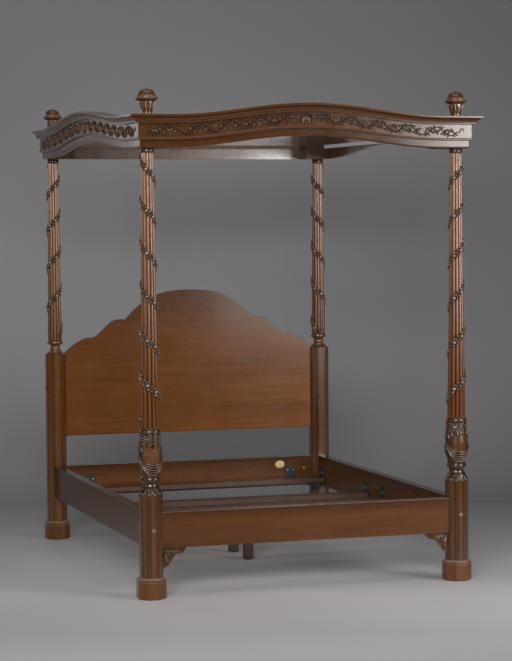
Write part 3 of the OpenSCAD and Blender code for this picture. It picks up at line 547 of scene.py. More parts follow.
BOARD_OUTLINE = z_up([
    (BOARD_IN, 0.001), (BOARD_IN + 0.001, 0), (BOARD_OUT - 0.006, 0), (BOARD_OUT - 0.0035, 0.0007),
    (BOARD_OUT - 0.0016, 0.0025), (BOARD_OUT - 0.0005, 0.0055), (BOARD_OUT, 0.009), (BOARD_OUT, 0.158),
    (BOARD_IN, 0.158),
])
F = FRIEZE_OUT
FRIEZE_OUTLINE = z_up([
    (BOARD_OUT, 0.037), (F + 0.002, 0.037), (F + 0.0045, 0.0382), (F + 0.0058, 0.0402), (F + 0.0062, 0.0425),
    (F + 0.0058, 0.0448), (F + 0.0045, 0.0468), (F + 0.002, 0.048), (F, 0.0481), (F, 0.117),
    (BOARD_OUT, 0.117),
])
CROWN_OUTLINE = z_up(
    [(BOARD_OUT, 0.158), (BOARD_OUT, 0.117), (F + 0.0145, 0.117), (F + 0.0175, 0.1182), (F + 0.0189, 0.1205),
     (F + 0.019, 0.125), (F + 0.018, 0.1275)]
    + bow((F + 0.018, 0.128), (CROWN_OUT - 0.009, 0.144), 0.003, 8)
    + [(CROWN_OUT - 0.004, 0.146), (CROWN_OUT - 0.001, 0.1475), (CROWN_OUT, 0.150), (CROWN_OUT, 0.1565),
       (CROWN_OUT - 0.0015, 0.158)]
)
for side in ("foot", "left", "right"):
    grain = tester_x if side == "foot" else tester_y
    moulding("board_" + side, BOARD_OUTLINE, side, grain, "tester_board_" + side)
    ground = frieze_x if side == "foot" else frieze_y
    moulding("frieze_ground_" + side, FRIEZE_OUTLINE, side, ground, "frieze_" + side)
    moulding("crown_moulding_" + side, CROWN_OUTLINE, side, grain, "crown_" + side)

# ---------------------------------------- reeded shafts

POINTS_PER_REED = 10
SHAFT_STEPS = 120
TURNED_POINTS = 72
# Distance of a reed's centre from the shaft's axis, as a share of the radius
REED_CENTRE = 0.785


def reed_radius(radius, angle, fade):
    """Radius of the half-round reeds at an angle; fade 1 gives full reeds, 0 a plain cone."""
    pitch = 2 * math.pi / REEDS
    off = (angle % pitch) - pitch / 2
    hidden = (1 - REED_CENTRE) ** 2 - (REED_CENTRE * math.sin(off)) ** 2
    share = REED_CENTRE * math.cos(off) + math.sqrt(max(0.0, hidden))
    return radius * (1 + (share - 1) * fade)


def shaft_rings(taper, base, top):
    """Rings up a shaft, closer together at its ends, where the reeds run out."""
    n = REEDS * POINTS_PER_REED
    heights = [base + (top - base) * i / SHAFT_STEPS for i in range(SHAFT_STEPS + 1)]
    ends = [base + d for d in (0.002, 0.004, 0.007, 0.011)] + [top - d for d in (0.011, 0.007, 0.004, 0.002)]
    heights = sorted(set(heights + ends))
    rings = []
    for z in heights:
        fade = math.sqrt(max(0.0, min(1.0, (z - base) / 0.010, (top - z) / 0.010)))
        radius = lookup(taper, z) - 0.004 * (1 - fade)
        rings.append([
            (reed_radius(radius, a, fade) * math.cos(a), reed_radius(radius, a, fade) * math.sin(a), z)
            for a in (2 * math.pi * i / n for i in range(n))
        ])
    return rings


def revolve(profile):
    angles = [2 * math.pi * i / TURNED_POINTS for i in range(TURNED_POINTS)]
    return [[(r * math.cos(a), r * math.sin(a), z) for a in angles] for r, z in profile]


# ---------------------------------------- carving

# Angles across a stem's half-round section, and places across a leaf
STEM_ANGLES = (0, 0.7, 1.57, 2.44, math.pi)
LEAF_ACROSS = (-1, -0.72, -0.38, 0, 0.38, 0.72, 1)
# Shares of radius and of height up a dome, from its sunk foot
DOME = ((1, -1), (1, 0.15), (0.86, 0.55), (0.55, 0.86), (0.18, 1.0))


class Carving:
    """Relief built in flat coordinates, s along, t up and h out, and laid on a surface by a chart."""

    def __init__(self, chart):
        self.chart = chart
        self.verts = []
        self.faces = []
        self.rise = []

    def add(self, rings, wear_and_light=1.0, crest=False):
        """Add a closed form; wear_and_light scales its rise, and so its pale rubbing and painted highlight;
        crest measures the rise in each ring by itself.
        """
        base = len(self.verts)
        flat = [p for ring in rings for p in ring] + [centre(rings[0]), centre(rings[-1])]
        self.verts += [self.chart(*p) for p in flat]
        if crest:
            for ring in rings:
                top = max(p[2] for p in ring)
                self.rise += [max(0.0, p[2] / top) * wear_and_light for p in ring]
            self.rise += [0.0, 0.0]
        else:
            peak = max(p[2] for p in flat)
            self.rise += [max(0.0, p[2] / peak) * wear_and_light for p in flat]
        self.faces += loft_faces(len(rings), len(rings[0]), base)

    def stem(self, points, width, height, sink=0.001, taper=0.35, wear_and_light=1.0):
        """A half-round rod along points in (s, t), thinner towards its end."""
        rings = []
        last = len(points) - 1
        for i, (s, t) in enumerate(points):
            s0, t0 = points[max(0, i - 1)]
            s1, t1 = points[min(last, i + 1)]
            length = math.hypot(s1 - s0, t1 - t0) or 1e-9
            ns, nt = -(t1 - t0) / length, (s1 - s0) / length
            k = 1 - (1 - taper) * (i / last) ** 1.5
            ends = min(1.0, (i + 0.35) / 1.2, (last - i + 0.35) / 1.2)
            w, h = width / 2 * k * ends, height * k * ends
            ring = [
                (s + ns * w * math.cos(a), t + nt * w * math.cos(a), h * math.sin(a)) for a in STEM_ANGLES
            ]
            rings.append([(s + ns * w, t + nt * w, -sink)] + ring + [(s - ns * w, t - nt * w, -sink)])
        self.add(rings, wear_and_light, crest=True)

    def leaf(
        self, s, t, angle, length, width, height, curl=0.0, sink=0.001, lobes=3, lift=0.4, steps=9, wear_and_light=1.0,
    ):
        """A leaf from its stalk at (s, t): lobed edges, a sunk midrib and a tip that curls sideways."""
        rings = []
        a = angle
        step = length / (steps - 1)
        for i in range(steps):
            u = i / (steps - 1)
            lobed = 1 + 0.16 * math.cos(2 * math.pi * lobes * u + 2.6)
            w = width / 2 * (math.sin(math.pi * min(1.0, 0.06 + 0.94 * u)) ** 0.65) * lobed
            w = max(w, width * 0.04)
            arch = 0.35 + 0.65 * math.sin(math.pi * (0.12 + 0.80 * u))
            top = height * arch * (1 - lift + lift * math.sin(math.pi * u))
            ns, nt = -math.sin(a), math.cos(a)
            ring = [(s + ns * w, t + nt * w, -sink)]
            for v in reversed(LEAF_ACROSS):
                crease = 1 - 0.38 * math.exp(-((v / 0.2) ** 2))
                h = top * (0.18 + 0.82 * (1 - v * v) ** 0.5) * crease
                ring.append((s + ns * w * v, t + nt * w * v, h))
            ring.append((s - ns * w, t - nt * w, -sink))
            rings.append(ring)
            s += step * math.cos(a)
            t += step * math.sin(a)
            a += curl / (steps - 1)
        self.add(rings, wear_and_light)

    def dome(self, s, t, radius, height, sink=0.001, n=10):
        rings = []
        for share, rise in DOME:
            h = -sink if rise < 0 else height * rise
            r = radius * share
            rings.append([
                (s + r * math.cos(2 * math.pi * i / n), t + r * math.sin(2 * math.pi * i / n), h)
                for i in range(n)
            ])
        self.add(rings)

    def flower(self, s, t, radius, height, petals, turn):
        inner = radius * 0.16
        for k in range(petals):
            a = turn + 2 * math.pi * k / petals
            self.leaf(
                s + inner * math.cos(a), t + inner * math.sin(a), a, radius * 0.9, radius * 0.95, height,
                lobes=1, lift=0.2, steps=6,
            )
        self.dome(s, t, radius * 0.30, height * 1.15, n=8)

    def acanthus(self, s, t, angle, length, width, height, curl=0.0, sink=0.001, pairs=4):
        """A big leaf: a ribbed blade with overlapping side leaflets along it."""
        self.leaf(s, t, angle, length, width * 0.62, height * 0.8, curl, sink, 1, 0.2, 11)
        a = angle
        for i in range(pairs):
            u = (i + 0.35) / pairs
            d = length / pairs * (0.35 if i == 0 else 1.0)
            s += d * math.cos(a)
            t += d * math.sin(a)
            a = angle + curl * u
            size = math.sin(math.pi * (0.28 + 0.60 * u))
            for side in (-1, 1):
                lean = a + side * (0.85 - 0.35 * u)
                long, wide = width * 0.62 * size, width * 0.36 * size
                self.leaf(s, t, lean, long, wide, height, side * -0.5, sink, 1, 0.25, 7)

    def make(self, name, material):
        return solid(name, self.verts, self.faces, material, 50, rise=self.rise)


def unrolled(x, y, radius_at, nominal):
    """A chart round a post: s is arc length at a nominal radius, so shapes keep their form."""

    def chart(s, t, h):
        r = radius_at(t) + h
        a = s / nominal
        return (x + r * math.cos(a), y + r * math.sin(a), t)

    return chart


# The shaft's nominal radius, and the share of its radius on which the vine lies
SHAFT_NOMINAL = 0.038
VINE_BED = 0.955
BUDS_PER_TURN = 7
STEM_STEPS_PER_TURN = 48
# The leaves round a bud: turn from the stem's way, spread from it, size
BUD_LEAVES = ((0, 0.50, 1.0), (0, -0.75, 0.85), (math.pi, 0.50, 1.0), (math.pi, -0.75, 0.85))


def garland(which, x, y, taper, base, top):
    """The leaf-and-flower vine that winds up a shaft."""
    sense, z0, pitch, growth, facing = VINES[which]
    carving = Carving(unrolled(x, y, lambda z: lookup(taper, z) * VINE_BED, SHAFT_NOMINAL))
    rng = random.Random(which)

    def at(turn):
        a = math.radians(facing - 360 * turn) * sense
        return a * SHAFT_NOMINAL, z0 - pitch * turn - growth * turn * turn

    def turn_at(z):
        return (math.sqrt(pitch ** 2 + 4 * growth * (z0 - z)) - pitch) / (2 * growth)

    t0, t1 = turn_at(top - 0.016), turn_at(base + 0.026)
    count = int((t1 - t0) * STEM_STEPS_PER_TURN)
    path = []
    for i in range(count + 1):
        turn = t0 + (t1 - t0) * i / count
        s, z = at(turn)
        path.append((s, z + 0.0030 * math.sin(2 * math.pi * turn * BUDS_PER_TURN)))
    carving.stem(path, 0.0060, 0.0040, 0.004, 1.0, wear_and_light=0.6)
    step = 1 / BUDS_PER_TURN
    k = 0
    turn = t0 + 0.04
    while turn < t1 - 0.03:
        s, z = at(turn)
        s1, z1 = at(turn + 0.01)
        along = math.atan2(z1 - z, s1 - s)
        # a full bud between two cupped leaves, and two thin leaves that leave the stem
        carving.dome(s, z + 0.001, 0.0106, 0.0138, 0.004, 14)
        for back, spread, size in BUD_LEAVES:
            a = along + back + spread
            r = 0.0058
            carving.leaf(
                s + r * math.cos(a), z + r * math.sin(a), a, 0.026 * size, 0.0170 * size,
                0.0092 + rng.random() * 0.0018, -0.7 * (1 if spread > 0 else -1), 0.004, 1, 0.3, wear_and_light=0.90,
            )
        s2, z2 = at(turn + step / 2)
        for back in (0, math.pi):
            a = along + back + (0.9 if k % 2 else -0.9)
            carving.leaf(s2, z2, a, 0.0150, 0.0068, 0.0056, 0.5, 0.004, 2, wear_and_light=0.7)
        turn += step
        k += 1
    return carving.make("vine_" + which, vine_wood)


def turned_ring(name, x, y, profile):
    verts, faces = loft([[(x + p[0], y + p[1], p[2]) for p in ring] for ring in revolve(profile)])
    return solid(name, verts, faces, ring_wood, 40)


def shaft_piece(which, x, y, taper, base, top):
    """A reeded shaft in place of its node, the reed crests paled as rubbing and as a painted highlight, more
    towards the top, and its collar.
    """
    rings = shaft_rings(taper, base, top)
    n = len(rings[0])
    rise = []
    for ring in rings:
        z = ring[0][2]
        # the crests' pale rubbing and painted highlight grow towards the top
        share = 0.52 + 0.48 * smooth((z - base) / (top - base))
        rise += [share * (1 - abs((i * REEDS / n) % 1 - 0.5) * 2) for i in range(n)]
    rise += [0.0, 0.0]
    collar = [
        (0.030, top - 0.001), (0.031, top), (0.0325, top + 0.002), (0.0338, top + 0.005),
        (0.034, top + 0.008), (0.0337, top + 0.012), (0.0322, top + 0.0155), (0.031, top + 0.0165),
        (0.0322, top + 0.018), (0.033, top + 0.022),
    ]
    verts, faces = loft([[(x + p[0], y + p[1], p[2]) for p in ring] for ring in rings])
    turned_ring("collar_" + which, x, y, collar)
    return solid("reeds_" + which, verts, faces, reed_wood, 40, replaces=("shaft_" + which,), rise=rise)


for which, x, y, taper, base in (
    ("foot_left", -POST_X, FOOT_Y, FOOT_TAPER, FOOT_SHAFT_BASE),
    ("foot_right", POST_X, FOOT_Y, FOOT_TAPER, FOOT_SHAFT_BASE),
    ("head_left", -POST_X, HEAD_Y, HEAD_TAPER, HEAD_SHAFT_BASE),
    ("head_right", POST_X, HEAD_Y, HEAD_TAPER, HEAD_SHAFT_BASE),
):
    shaft_piece(which, x, y, taper, base, SHAFT_TOP)
    garland(which, x, y, taper, base, SHAFT_TOP)

# ---------------------------------------- friezes


def spiral_points(s, t, radius, start, turns, inner, n=18):
    """Points that wind inwards from a start angle."""
    out = []
    for i in range(n + 1):
        u = i / n
        r = radius * (1 - u) + inner * u
        a = start + turns * 2 * math.pi * u
        out.append((s + r * math.cos(a), t + r * math.sin(a)))
    return out


# Small leaves in the corners left by a bend: place from its middle, lean, size
CORNER_LEAVES = ((-0.62, 2.35, 1.0), (0.62, 0.80, 1.0), (-0.30, 2.0, 0.8), (0.34, 1.0, 0.8))
# The middle bouquet's leaves to each side: lean from upright, length, curl
BOUQUET = ((0.20, 0.050, 0.15), (0.55, 0.046, -0.35), (0.95, 0.038, -0.7), (1.45, 0.030, -0.9))


def frieze_carving(side):
    """A scrolling stem from the middle to each end: spirals with flowers and leafy bends by turns."""
    half = HALF_X if side == "foot" else HALF_Y
    middle = TESTER_BOTTOM + 0.0825
    waves = 10 if side == "foot" else 14
    first = 0.046
    wave = (half + (0.001 if side == "foot" else -0.018) - first) / waves
    amp = 0.0205
    shift = -0.015 if side == "foot" else 0.0

    def chart_towards(way):
        def chart(s, t, h):
            x = shift + way * s
            return side_point(side, x, FRIEZE_OUT + h, middle + t + hump(x, half))

        return chart

    def stem_at(u):
        swell = smooth(u / 0.6) if u < 0.6 else 1.0
        return first + u * wave, amp * swell * math.sin(math.pi * u)

    carving = Carving(chart_towards(1))
    rng = random.Random(side)
    for way in (-1, 1):
        carving.chart = chart_towards(way)
        n = waves * 14
        carving.stem([stem_at(waves * i / n) for i in range(n + 1)], 0.0072, 0.0072, taper=0.8, wear_and_light=0.80)
        for k in range(waves):
            bend = 1 if k % 2 == 0 else -1
            from_end = waves - 1 - k
            s, t = stem_at(k + 0.5)
            in_s, in_t = stem_at(k + 0.04)
            if from_end % 2 == 1 and from_end != 1 or from_end == 4:
                # a spiral that follows the bend and closes on a flower
                lead = [stem_at(k - 0.10), (in_s, in_t)] if k else []
                coil = spiral_points(s + 0.001, -bend * 0.0045, 0.0185, math.pi, -bend * 1.30, 0.0055, 22)
                carving.stem(lead + coil, 0.0066, 0.0074, taper=0.6)
                carving.flower(s + 0.001, -bend * 0.0045, 0.0090, 0.0092, 5, rng.random())
            elif from_end == 2:
                # an open bend with a long leaf up one side
                carving.leaf(
                    s + 0.010, t + bend * -0.004, -bend * 1.15, 0.040, 0.0085, 0.0066, bend * 0.35, lobes=2
                )
                carving.dome(s - 0.012, -bend * 0.008, 0.0034, 0.0060)
            else:
                # leaves that cross inside the bend, and a berry
                carving.acanthus(
                    s - 0.016, t - bend * 0.006, -bend * 1.05, 0.034, 0.017, 0.0072, bend * 0.9, pairs=3
                )
                carving.leaf(
                    s + 0.020, t - bend * 0.010, math.pi + bend * 0.9, 0.028, 0.0115, 0.0080, -bend * 0.7
                )
                carving.dome(s + 0.004, -bend * 0.013, 0.0042, 0.0072)
            # leaves that grow outwards where the stem crosses the middle
            carving.leaf(in_s, in_t, bend * -0.75, 0.029, 0.0130, 0.0092, bend * 0.9, lobes=2)
            carving.leaf(in_s, in_t, math.pi - bend * 0.85, 0.026, 0.0120, 0.0088, bend * 0.8, lobes=2)
            for off, lean, size in CORNER_LEAVES:
                p_s, p_t = stem_at(k + 0.5 + off * 0.5)
                curl = bend * (0.8 if off < 0 else -0.8)
                carving.leaf(p_s, p_t, bend * lean, 0.0180 * size, 0.0098 * size, 0.0078, curl, lobes=2)
        # the hook that ends the stem
        e_s, e_t = stem_at(waves)
        bends = ((0, 0), (0.006, -0.006), (0.012, -0.001), (0.015, 0.008))
        hook = [(e_s + ds, e_t + dt) for ds, dt in bends]
        hook += spiral_points(e_s + 0.024, e_t + 0.006, 0.0085, math.pi, -0.72, 0.0060, 12)
        carving.stem(hook, 0.0056, 0.0058, taper=0.7)
    # the bouquet in the middle: tall upright leaves over a ribbon
    carving.chart = chart_towards(1)
    for way in (-1, 1):
        for lean, length, curl in BOUQUET:
            angle = math.pi / 2 - way * lean
            carving.leaf(way * 0.004, -0.024, angle, length, 0.0105, 0.0092, -way * curl, lobes=3, steps=11)
        ribbon = spiral_points(way * 0.024, -0.016, 0.0120, math.pi / 2 - way * 0.6, -way * 0.9, 0.0050, 16)
        carving.stem(ribbon, 0.0048, 0.0064)
        carving.dome(way * 0.030, 0.020, 0.0044, 0.0070)
        carving.dome(way * 0.036, 0.004, 0.0036, 0.0060)
    carving.leaf(0, -0.022, math.pi / 2, 0.052, 0.0110, 0.0100, 0.0, lobes=3, steps=11)
    carving.flower(0, -0.022, 0.0105, 0.0105, 6, 0.3)
    return carving.make("frieze_scrolls_" + side, carved_x if side == "foot" else carved_y)


for side in ("foot", "left", "right"):
    frieze_carving(side)

# ---------------------------------------- foot posts: vase, leaf ring

VASE_BASE, VASE_BELLY, VASE_TOP = 0.594, 0.677, 0.801
# Heights and radii of the leafy skirt over a foot block and of the ring above it
SKIRT = [
    (0.5040, 0.0560), (0.5100, 0.0548), (0.5170, 0.0510), (0.5250, 0.0468), (0.5350, 0.0435),
    (0.5480, 0.0395),
]
RING = [(0.519, 0.037), (0.523, 0.0405), (0.530, 0.0424), (0.536, 0.0424), (0.543, 0.0405), (0.548, 0.037)]


VASE_NOMINAL = 0.05
SWAG_FOLDS = 5
SWAG_STEPS = 44
# Angles across a fold
FOLD_ANGLES = (0.001, 0.45, 0.9, 1.3, 1.75, 2.2, 2.65, 3.14)


def vase_radius(z):
    """The plain vase's radius, as in the part."""
    if z < 0.56:
        return lookup(RING, z)
    if z < VASE_BELLY:
        return 0.043 + 0.006 * (1 - math.cos(math.pi * max(0.0, z - VASE_BASE) / (VASE_BELLY - VASE_BASE)))
    above = (min(z, VASE_TOP) - VASE_BELLY) / (VASE_TOP - VASE_BELLY)
    return 0.055 - 0.0045 * (1 - math.cos(math.pi * above))


def vase_carving(which, x, y):
    """Swags in folds, their knots, a calyx, broad leaves, and the leafy skirt over the block."""
    nominal, steps = VASE_NOMINAL, SWAG_STEPS
    carving = Carving(unrolled(x, y, vase_radius, nominal))
    for face in range(2):
        mid = math.pi * (face - 0.5)
        for i in range(SWAG_FOLDS):
            low, high = 0.6055 + 0.0120 * i, 0.6920 + 0.0030 * i
            points = []
            for j in range(steps + 1):
                u = (j / steps * 2 - 1) * 0.93
                points.append(((mid + u * math.pi / 2) * nominal, low + (high - low) * abs(u) ** 2.1))
            rings = []
            for j, (s, t) in enumerate(points):
                s0, t0 = points[max(0, j - 1)]
                s1, t1 = points[min(steps, j + 1)]
                length = math.hypot(s1 - s0, t1 - t0)
                ns, nt = -(t1 - t0) / length, (s1 - s0) / length
                u = abs(j / steps * 2 - 1)
                w = 0.0058 * (1 - 0.62 * u ** 2)
                h = 0.0080 * (1 - 0.35 * u ** 3)
                across = [(w * math.cos(b), h * (0.02 + 0.98 * math.sin(b) ** 1.6)) for b in FOLD_ANGLES]
                ring = [(s + ns * w, t + nt * w, -0.002)]
                ring += [(s + ns * o, t + nt * o, e) for o, e in across]
                ring += [(s - ns * w, t - nt * w, -0.002)]
                rings.append(ring)
            carving.add(rings, 0.97, crest=True)
        # the knot that gathers a swag's ends at the side, and its tail
        d = (mid + math.pi / 2) * nominal
        carving.dome(d, 0.702, 0.0095, 0.0065, 0.002, 12)
        for lean in (-0.35, 0.0, 0.35):
            carving.leaf(d, 0.698, -math.pi / 2 + lean, 0.060, 0.012, 0.0055, 0, 0.002, 2)
    # a calyx under the swags, and broad dark leaves at the sides between the plain ovals
    for k in range(8):
        a = 2 * math.pi * k / 8
        carving.leaf(a * nominal, 0.5945, math.pi / 2, 0.056, 0.042, 0.0030, 0, 0.002, 3, 0.1, 11, 0.7)
    for side in (0, math.pi):
        carving.leaf(side * nominal, 0.7750, -math.pi / 2, 0.092, 0.070, 0.0040, 0, 0.001, 4, 0.1, 13, 0.6)
        for way in (-1, 1):
            lean = -math.pi / 2 + way * 0.30
            carving.leaf(side * nominal, 0.7700, lean, 0.075, 0.018, 0.0062, 0, 0.001, 2, 0.2, 9, 0.9)
    # the band of hanging leaves over the ovals, each a dark blade with slanting ribs
    leaves = 6
    for k in range(leaves):
        a = 2 * math.pi * (k + 0.5) / leaves
        b = a + math.pi / leaves
        carving.leaf(a * nominal, 0.8010, -math.pi / 2, 0.068, 0.066, 0.0040, 0, 0.001, 4, 0.1, 13, 0.6)
        carving.leaf(b * nominal, 0.8010, -math.pi / 2, 0.064, 0.060, 0.0034, 0, 0.001, 3, 0.1, 11, 0.6)
        for way in (-1, 1):
            for i in range(4):
                top = 0.7985 - 0.0125 * i
                reach = 0.0250 * (1.0, 1.0, 0.86, 0.60)[i]
                rib = [(a * nominal + way * reach * v / 6, top - 0.0150 * (v / 6) ** 1.4) for v in range(7)]
                carving.stem(rib, 0.0092, 0.0084, 0.001, 0.6, 1.14)
    # the leafy skirt under the neck, each leaf curling out over the block's top
    carving.chart = unrolled(x, y, lambda z: lookup(SKIRT, z), nominal)
    lobes = 11
    for k in range(lobes):
        a = 2 * math.pi * (k + 0.5) / lobes
        b = a + math.pi / lobes
        carving.leaf(b * nominal, 0.5480, -math.pi / 2, 0.042, 0.0310, 0.0034, 0, 0.006, 1, 0.1, 9, 0.8)
        carving.leaf(a * nominal, 0.5480, -math.pi / 2, 0.043, 0.0270, 0.0048, 0, 0.006, 1, 0.1, 9, 0.8)
        carving.dome(a * nominal, 0.5120, 0.0094, 0.0045, 0.006, 12)
        carving.dome(b * nominal, 0.5340, 0.0062, 0.0060, 0.004, 10)
    return carving.make("vase_carving_" + which, carved_z)


# Radii and heights of the turned rings under and over a vase
LOWER_RING = [
    (0.0388, 0.5475), (0.0374, 0.5510), (0.0362, 0.5560), (0.0362, 0.5620), (0.0376, 0.5650),
    (0.0410, 0.5668), (0.0446, 0.5690), (0.0473, 0.5735), (0.0484, 0.5790), (0.0486, 0.5850),
    (0.0470, 0.5905), (0.0435, 0.5937),
]
UPPER_RING = [
    (0.0475, 0.8022), (0.0500, 0.8034), (0.0518, 0.8066), (0.0525, 0.8115), (0.0518, 0.8164),
    (0.0500, 0.8196), (0.0470, 0.8206),
]
for which, x in (("foot_left", -POST_X), ("foot_right", POST_X)):
    vase_carving(which, x, FOOT_Y)
    turned_ring("lower_ring_" + which, x, FOOT_Y, LOWER_RING)
    turned_ring("upper_ring_" + which, x, FOOT_Y, UPPER_RING)

# ---------------------------------------- knee brackets


def knee_carving(which, sign):
    """Acanthus leaves and a scroll on a knee bracket; sign is the side of the bed."""
    face_y = FOOT_Y - 0.013

    def chart(s, t, h):
        return (sign * (POST_X - HALF_BLOCK - s), face_y - h, RAIL_BOTTOM + t)

    carving = Carving(chart)
    carving.acanthus(0.008, -0.010, -0.26, 0.098, 0.032, 0.0085, 0.35, 0.002, 5)
    carving.acanthus(0.006, -0.014, -1.22, 0.080, 0.030, 0.0085, -0.25, 0.002, 4)
    carving.acanthus(0.010, -0.012, -0.72, 0.050, 0.024, 0.0095, -0.4, 0.002, 3)
    carving.dome(0.011, -0.012, 0.0085, 0.0105, 0.002)
    carving.stem(spiral_points(0.100, -0.012, 0.011, math.pi, -1.1, 0.003, 16), 0.006, 0.008, 0.002)
    return carving.make("knee_leaves_" + which, knee_wood)


knee_carving("left", -1)
knee_carving("right", 1)

# ---------------------------------------- camera, fitted to the photo

CAMERA_AT = Vector((-3.4964, -11.1917, 1.8601))
YAW, PITCH, ROLL = (math.radians(a) for a in (17.673, -3.072, -0.426))
FOCAL_PX = 2182.7
LONG_SIDE_PX = 661
SENSOR = 36.0

forward = Vector((math.sin(YAW) * math.cos(PITCH), math.cos(YAW) * math.cos(PITCH), math.sin(PITCH)))
level_right = Vector((math.cos(YAW), -math.sin(YAW), 0))
level_up = level_right.cross(forward)
right = math.cos(ROLL) * level_right + math.sin(ROLL) * level_up
up = -math.sin(ROLL) * level_right + math.cos(ROLL) * level_up
camera_data = bpy.data.cameras.new("camera")
camera_data.lens = FOCAL_PX * SENSOR / LONG_SIDE_PX
camera_data.sensor_width = SENSOR
camera_data.clip_end = 200
camera = bpy.data.objects.new("camera", camera_data)
bpy.context.scene.collection.objects.link(camera)
camera.matrix_world = Matrix.Translation(CAMERA_AT) @ Matrix((right, up, -forward)).transposed().to_4x4()
bpy.context.scene.camera = camera

# ---------------------------------------- floor and backdrop

AHEAD = Vector((math.sin(YAW), math.cos(YAW), 0))
ACROSS = level_right
GROUND = Vector((CAMERA_AT.x, CAMERA_AT.y, 0))
SHEET_WIDE = 26.0
SHEET_PARTS = 14
# Distances ahead of the camera between which the floor's colour changes as painted light: brightest about the
# bed's foot, darker towards the backdrop
FLOOR_NEAR, FLOOR_FAR = 9.6, 14.0
# The painted light's fall from left to right, on floor and backdrop, is this far to each side of the middle
FALL_HALF = 2.0


def stage_point(side, ahead, z):
    """A point to the side and ahead of the camera's place on the floor."""
    p = GROUND + ACROSS * side + AHEAD * ahead
    return (p.x, p.y, z)


def stage_sheet(name, rows, material):
    n = SHEET_PARTS
    verts = [stage_point(SHEET_WIDE * (i / n - 0.5), a, z) for a, z in rows for i in range(n + 1)]
    faces = []
    for k in range(len(rows) - 1):
        for i in range(n):
            a = k * (n + 1) + i
            faces.append((a, a + 1, a + n + 2, a + n + 1))
    mesh = bpy.data.meshes.new(name)
    mesh.from_pydata(verts, [], faces)
    mesh.shade_smooth()
    mesh.materials.append(material)
    o = bpy.data.objects.new(name, mesh)
    bpy.context.scene.collection.objects.link(o)


def across_fall(m, left, right):
    middle = GROUND.dot(ACROSS)
    return m.spread(m.along(ACROSS), middle - FALL_HALF, middle + FALL_HALF, left, right)


def floor_material():
    m = Mat("studio_floor", Roughness=0.55)
    start = GROUND.dot(AHEAD)
    away = m.spread(m.along(AHEAD), start + FLOOR_NEAR, start + FLOOR_FAR, 0.0, 1.0)
    cloudy = m.noise(0.6, 3.0, m.coords(), 0.5)
    away = m.math("ADD", away, m.spread(cloudy, 0.3, 0.7, -0.02, 0.02))
    ground = m.ramp(away, [
        (0.0, (0.44, 0.425, 0.425)), (0.22, (0.62, 0.60, 0.60)), (0.5, (0.47, 0.455, 0.46)),
        (0.75, (0.33, 0.32, 0.323)), (1.0, (0.25, 0.242, 0.246)),
    ])
    # painted light: the far floor is painted lighter towards the left
    fall = m.math("ADD", 1.0, m.math("MULTIPLY", across_fall(m, 0.40, -0.10), away))
    m.set("Base Color", m.scaled(ground, fall))
    speckle = m.noise(90.0, 3.0, m.coords(), 0.6)
    bump = m.node("Bump", {"Strength": 0.05, "Distance": 0.001, "Height": speckle})
    m.set("Normal", bump.outputs["Normal"])
    return m.mat


def backdrop_material():
    m = Mat("studio_backdrop", Roughness=0.9)
    cloudy = m.noise(0.35, 3.0, m.coords(), 0.5)
    # painted light: the paper is painted lightest about two metres up and darker towards its top
    rising = m.spread(m.place("Z"), 0.0, 5.0, 0.0, 1.0)
    tone = m.math("ADD", rising, m.spread(cloudy, 0.3, 0.7, -0.05, 0.05))
    paper = m.ramp(tone, [
        (0.0, (0.22, 0.212, 0.216)), (0.36, (0.238, 0.231, 0.237)), (0.64, (0.205, 0.198, 0.204)),
    ])
    # painted light: the paper is painted a little lighter towards its left
    m.set("Base Color", m.scaled(paper, across_fall(m, 1.55, 0.86)))
    # seen from behind it is clear, so it hides nothing from the other views
    back = m.node("NewGeometry").outputs["Backfacing"]
    clear = m.node("BsdfTransparent")
    mixed = m.node("MixShader", {0: back, 1: m.shader.outputs["BSDF"], 2: clear.outputs["BSDF"]})
    m.tree.links.new(mixed.outputs[0], m.out.inputs["Surface"])
    return m.mat


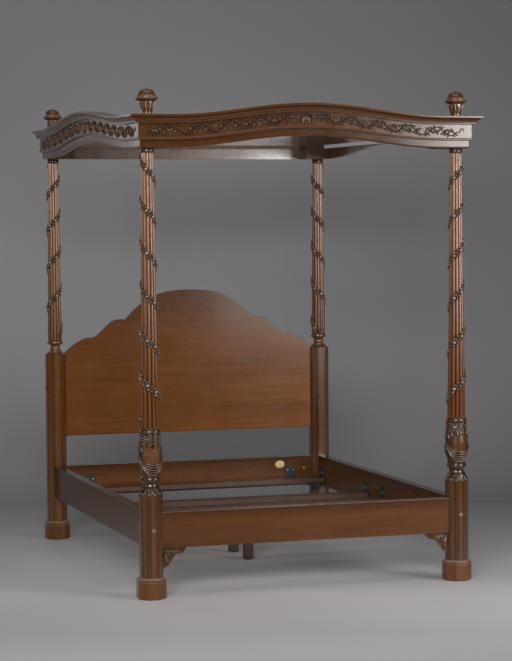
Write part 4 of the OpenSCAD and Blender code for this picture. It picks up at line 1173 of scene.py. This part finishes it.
stage_sheet("floor", [(a, 0.0) for a in (-12, -4, 2, 6, 9, 11, 13, 15, 20, 30)], floor_material())
COVE_AT, COVE_R = 13.9, 1.6
COVE_ANGLES = [math.pi / 2 * i / 16 for i in range(17)]
cove = [(COVE_AT + COVE_R * math.sin(a), 0.0005 + COVE_R * (1 - math.cos(a))) for a in COVE_ANGLES]
wall_at = COVE_AT + COVE_R
stage_sheet("backdrop", cove + [(wall_at, z) for z in (2.6, 4.0, 6.0, 9.0, 14.0)], backdrop_material())

# ---------------------------------------- light


def softbox(name, at, aim, size, power, spread=120.0):
    light = bpy.data.lights.new(name, "AREA")
    light.shape = "RECTANGLE"
    light.size, light.size_y = size
    light.energy = power
    light.spread = math.radians(spread)
    o = bpy.data.objects.new(name, light)
    bpy.context.scene.collection.objects.link(o)
    o.location = at
    o.rotation_mode = "QUATERNION"
    o.rotation_quaternion = (Vector(aim) - Vector(at)).to_track_quat("-Z", "Y")


softbox("right_box", (3.90, -4.265, 2.1), (3.52, -3.34, 2.1), (3.9, 2.4), 44)
softbox("right_core", (3.12, -4.585, 2.15), (2.74, -3.66, 2.15), (1.7, 1.9), 42)
softbox("front_box", (-3.6, -8.0, 3.4), (-0.3, 0, 1.0), (4.2, 1.9), 98, 80)
softbox("left_strip", (-5.0, -1.6, 1.8), (0, -0.6, 1.4), (0.7, 2.4), 8)
softbox("left_back", (-3.0, 3.87, 2.6), (-0.9, -0.9, 2.3), (1.2, 1.6), 9.0)
softbox("top_box", (-0.5, -1.0, 5.4), (0, 0, 0), (5.0, 4.0), 15, 100)
softbox("floor_box", (-0.4, -2.6, 4.2), (-0.4, -2.6, 0), (5.0, 0.8), 9, 44)

world = bpy.data.worlds.new("studio")
bpy.context.scene.world = world
world.use_nodes = True
world.node_tree.nodes["Background"].inputs["Color"].default_value = (0.92, 0.95, 1.0, 1)
world.node_tree.nodes["Background"].inputs["Strength"].default_value = 0.05

scene = bpy.context.scene
scene.view_settings.view_transform = "Standard"
